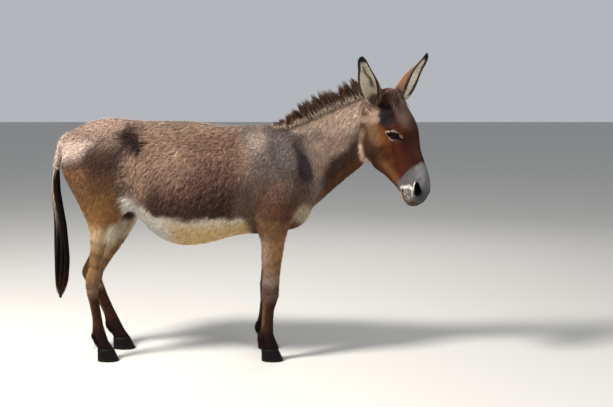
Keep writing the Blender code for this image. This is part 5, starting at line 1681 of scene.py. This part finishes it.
def make_ear_hair(ears):
    """Short flat hair outside and inside, fluff at the foot, and a pale fringe over the opening."""
    for side, (m, share, inner, turn, info, tone) in ears.items():
        m.shade_smooth()
        n = normals_of(m)
        lie = unit(info["axis"] - n * dot(info["axis"], n)[:, None])
        fields = {"normal": n, "lie": lie, "colour": tone, "share": share, "turn": turn}
        ear = Surface(m, fields)

        def chart(p):
            q = p - info["foot"]
            angle = np.arctan2(q @ info["across"], -(q @ info["opening"]))
            return into((q @ info["axis"]) / 0.30 + 0.12, angle / (2 * math.pi) + 0.5)

        coat = Coat("ear_hair_" + side, chart)
        outside = (inner < 0.5) * step(share, -0.10, -0.02)
        grow(coat, ear, outside * 90000, 0.0085, 0.0006, 0.0006, 700,
             clump=0.2, spacing=0.007, pale=0.22, root_shade=0.98, sink=0.0006, **LYING)
        base = (inner < 0.5) * step(share, -0.12, -0.04) * step(share, 0.16, 0.04)
        grow(coat, ear, base * 50000, 0.016, 0.0007, 0.0040, 740,
             clump=0.4, spacing=0.009, pale=0.3, project=False, wild=0.3)
        inside = (inner > 0.5) * step(share, 0.02, 0.10) * step(share, 0.97, 0.90)
        grow(coat, ear, inside * 42000, 0.009, 0.0005, 0.0009, 710,
             clump=0.3, spacing=0.010, pale=0.1, root_shade=1.0, sink=0.0006, **LYING)
        # pale fringe just inside each rim, leaning over the opening
        ear.fields = {**fields, "lie": unit(lie + info["across"] * (-0.9 * np.sign(turn))[:, None])}
        fringe = (inner > 0.5) * step(np.abs(turn), 0.50, 0.70) * step(np.abs(turn), 0.94, 0.86)
        fringe = fringe * step(share, 0.04, 0.14) * step(share, 0.86, 0.66)
        ear.fields["colour"] = np.tile(EAR_IN * 0.95, (len(n), 1))
        grow(coat, ear, fringe * 20000, 0.016, 0.00035, 0.0035, 720,
             clump=0.5, spacing=0.010, pale=0.3, project=False, wild=0.30)
        ear.fields = fields
        rim = step(np.abs(turn), 0.88, 0.95) * step(share, 0.10, 0.18)
        grow(coat, ear, rim * 60000, 0.008, 0.0006, 0.0022, 730,
             pale=0.1, segments=1, project=False, upright=0.5)
        coat.build(bpy.data.materials["short_coat"])


def make_whiskers(eyes, material, surface):
    """Whiskers round the lips and lashes on the upper lids."""
    coat = Coat("whiskers_and_lashes", unwrap_head)
    g = np.random.default_rng(91)
    n = 44
    along = 0.445 + 0.080 * g.random(n)
    spots = np.stack([along, (g.random(n) - 0.5) * 0.11, 0.085 + 0.070 * g.random(n)], -1)
    found = [surface.tree.find_nearest(q) for q in from_head(spots).tolist()]
    root, normal = np.array([hit[0][:] for hit in found]), np.array([hit[1][:] for hit in found])
    side = unit(np.cross(normal, ALONG) + 1e-6)
    direction = normal + ALONG * 0.5 + g.normal(size=(n, 3)) * 0.25
    dark = np.tile(rgb(0.03, 0.022, 0.018), (n, 1))
    strands(coat, root - normal * 0.001, direction, 0.010 + 0.010 * g.random(n), np.full(n, 0.00028), side,
            dark, dark * 1.5, 92, droop=0.3, segments=3)
    for s in (1, -1):
        centre, along, rise, out = eyes[s]
        n = 60
        a = (g.random(n) * 1.7 - 0.85) * EYE_HALF[0]
        b = EYE_HALF[1] * 1.12 * np.clip(1 - np.abs(a / EYE_HALF[0]) ** 1.9, 0, 1) ** 0.80 + 0.0018
        c = eye_height(np.clip(a, -.0185, .0185), np.clip(b, -.013, .013)) + 0.0026
        root = centre + along * a[:, None] + rise * b[:, None] + out * c[:, None]
        direction = out * 0.7 - rise * 0.25 + along * (a / EYE_HALF[0] * 0.6)[:, None]
        direction = direction + g.normal(size=(n, 3)) * 0.10
        normal = np.tile(rise, (n, 1))
        dark = np.tile(rgb(0.014, 0.010, 0.010), (n, 1))
        strands(coat, root - out * 0.001, direction, 0.007 + 0.006 * g.random(n), np.full(n, 0.00032), normal,
                dark, dark, 94 + s, droop=0.35, segments=3)
    coat.build(material)


# ---------------------------------------------------------------- studio
def studio():
    """The camera matched to the photo, a plain floor and soft lights."""
    scene = bpy.context.scene
    camera = bpy.data.objects.new("camera", bpy.data.cameras.new("camera"))
    camera.location = (0.3247, -4.9919, 1.34)
    camera.rotation_euler = (math.radians(83.3), 0, 0)
    camera.data.sensor_width = 36
    camera.data.lens = 60.665
    scene.collection.objects.link(camera)
    scene.camera = camera
    mesh = bpy.data.meshes.new("floor")
    mesh.from_pydata([(-30, -30, 0), (30, -30, 0), (30, 30, 0), (-30, 30, 0)], [], [(0, 1, 2, 3)])
    floor = make_object("floor", mesh)
    mat, base = new_material("floor", 0.9)
    put(base, {"Base Color": (0.46, 0.45, 0.43, 1)})
    mesh.materials.append(mat)
    world = bpy.data.worlds.new("studio")
    world.use_nodes = True
    put(world.node_tree.nodes["Background"], {"Color": (0.90, 0.94, 1.0, 1), "Strength": 0.50})
    scene.world = world
    lights = [
        ("key", (-2.8, -1.8, 4.4), (0, 0, 0.8), 1.0, 620, (1.0, 0.96, 0.90)),
        ("fill", (3.2, -3.2, 2.2), (0.85, 0, 1.25), 2.0, 80, (1.0, 0.99, 0.97)),
        ("back", (1.0, 3.6, 3.2), (0, 0, 0.9), 2.5, 45, (1.0, 0.98, 0.95)),
    ]
    for name, at, look, size, power, tint in lights:
        data = bpy.data.lights.new(name, "AREA")
        data.size, data.energy, data.color = size, power, tint
        obj = bpy.data.objects.new(name, data)
        obj.location = at
        obj.rotation_euler = (Vector(look) - Vector(at)).to_track_quat("-Z", "Y").to_euler()
        scene.collection.objects.link(obj)
    scene.view_settings.view_transform = "Standard"


main()
studio()
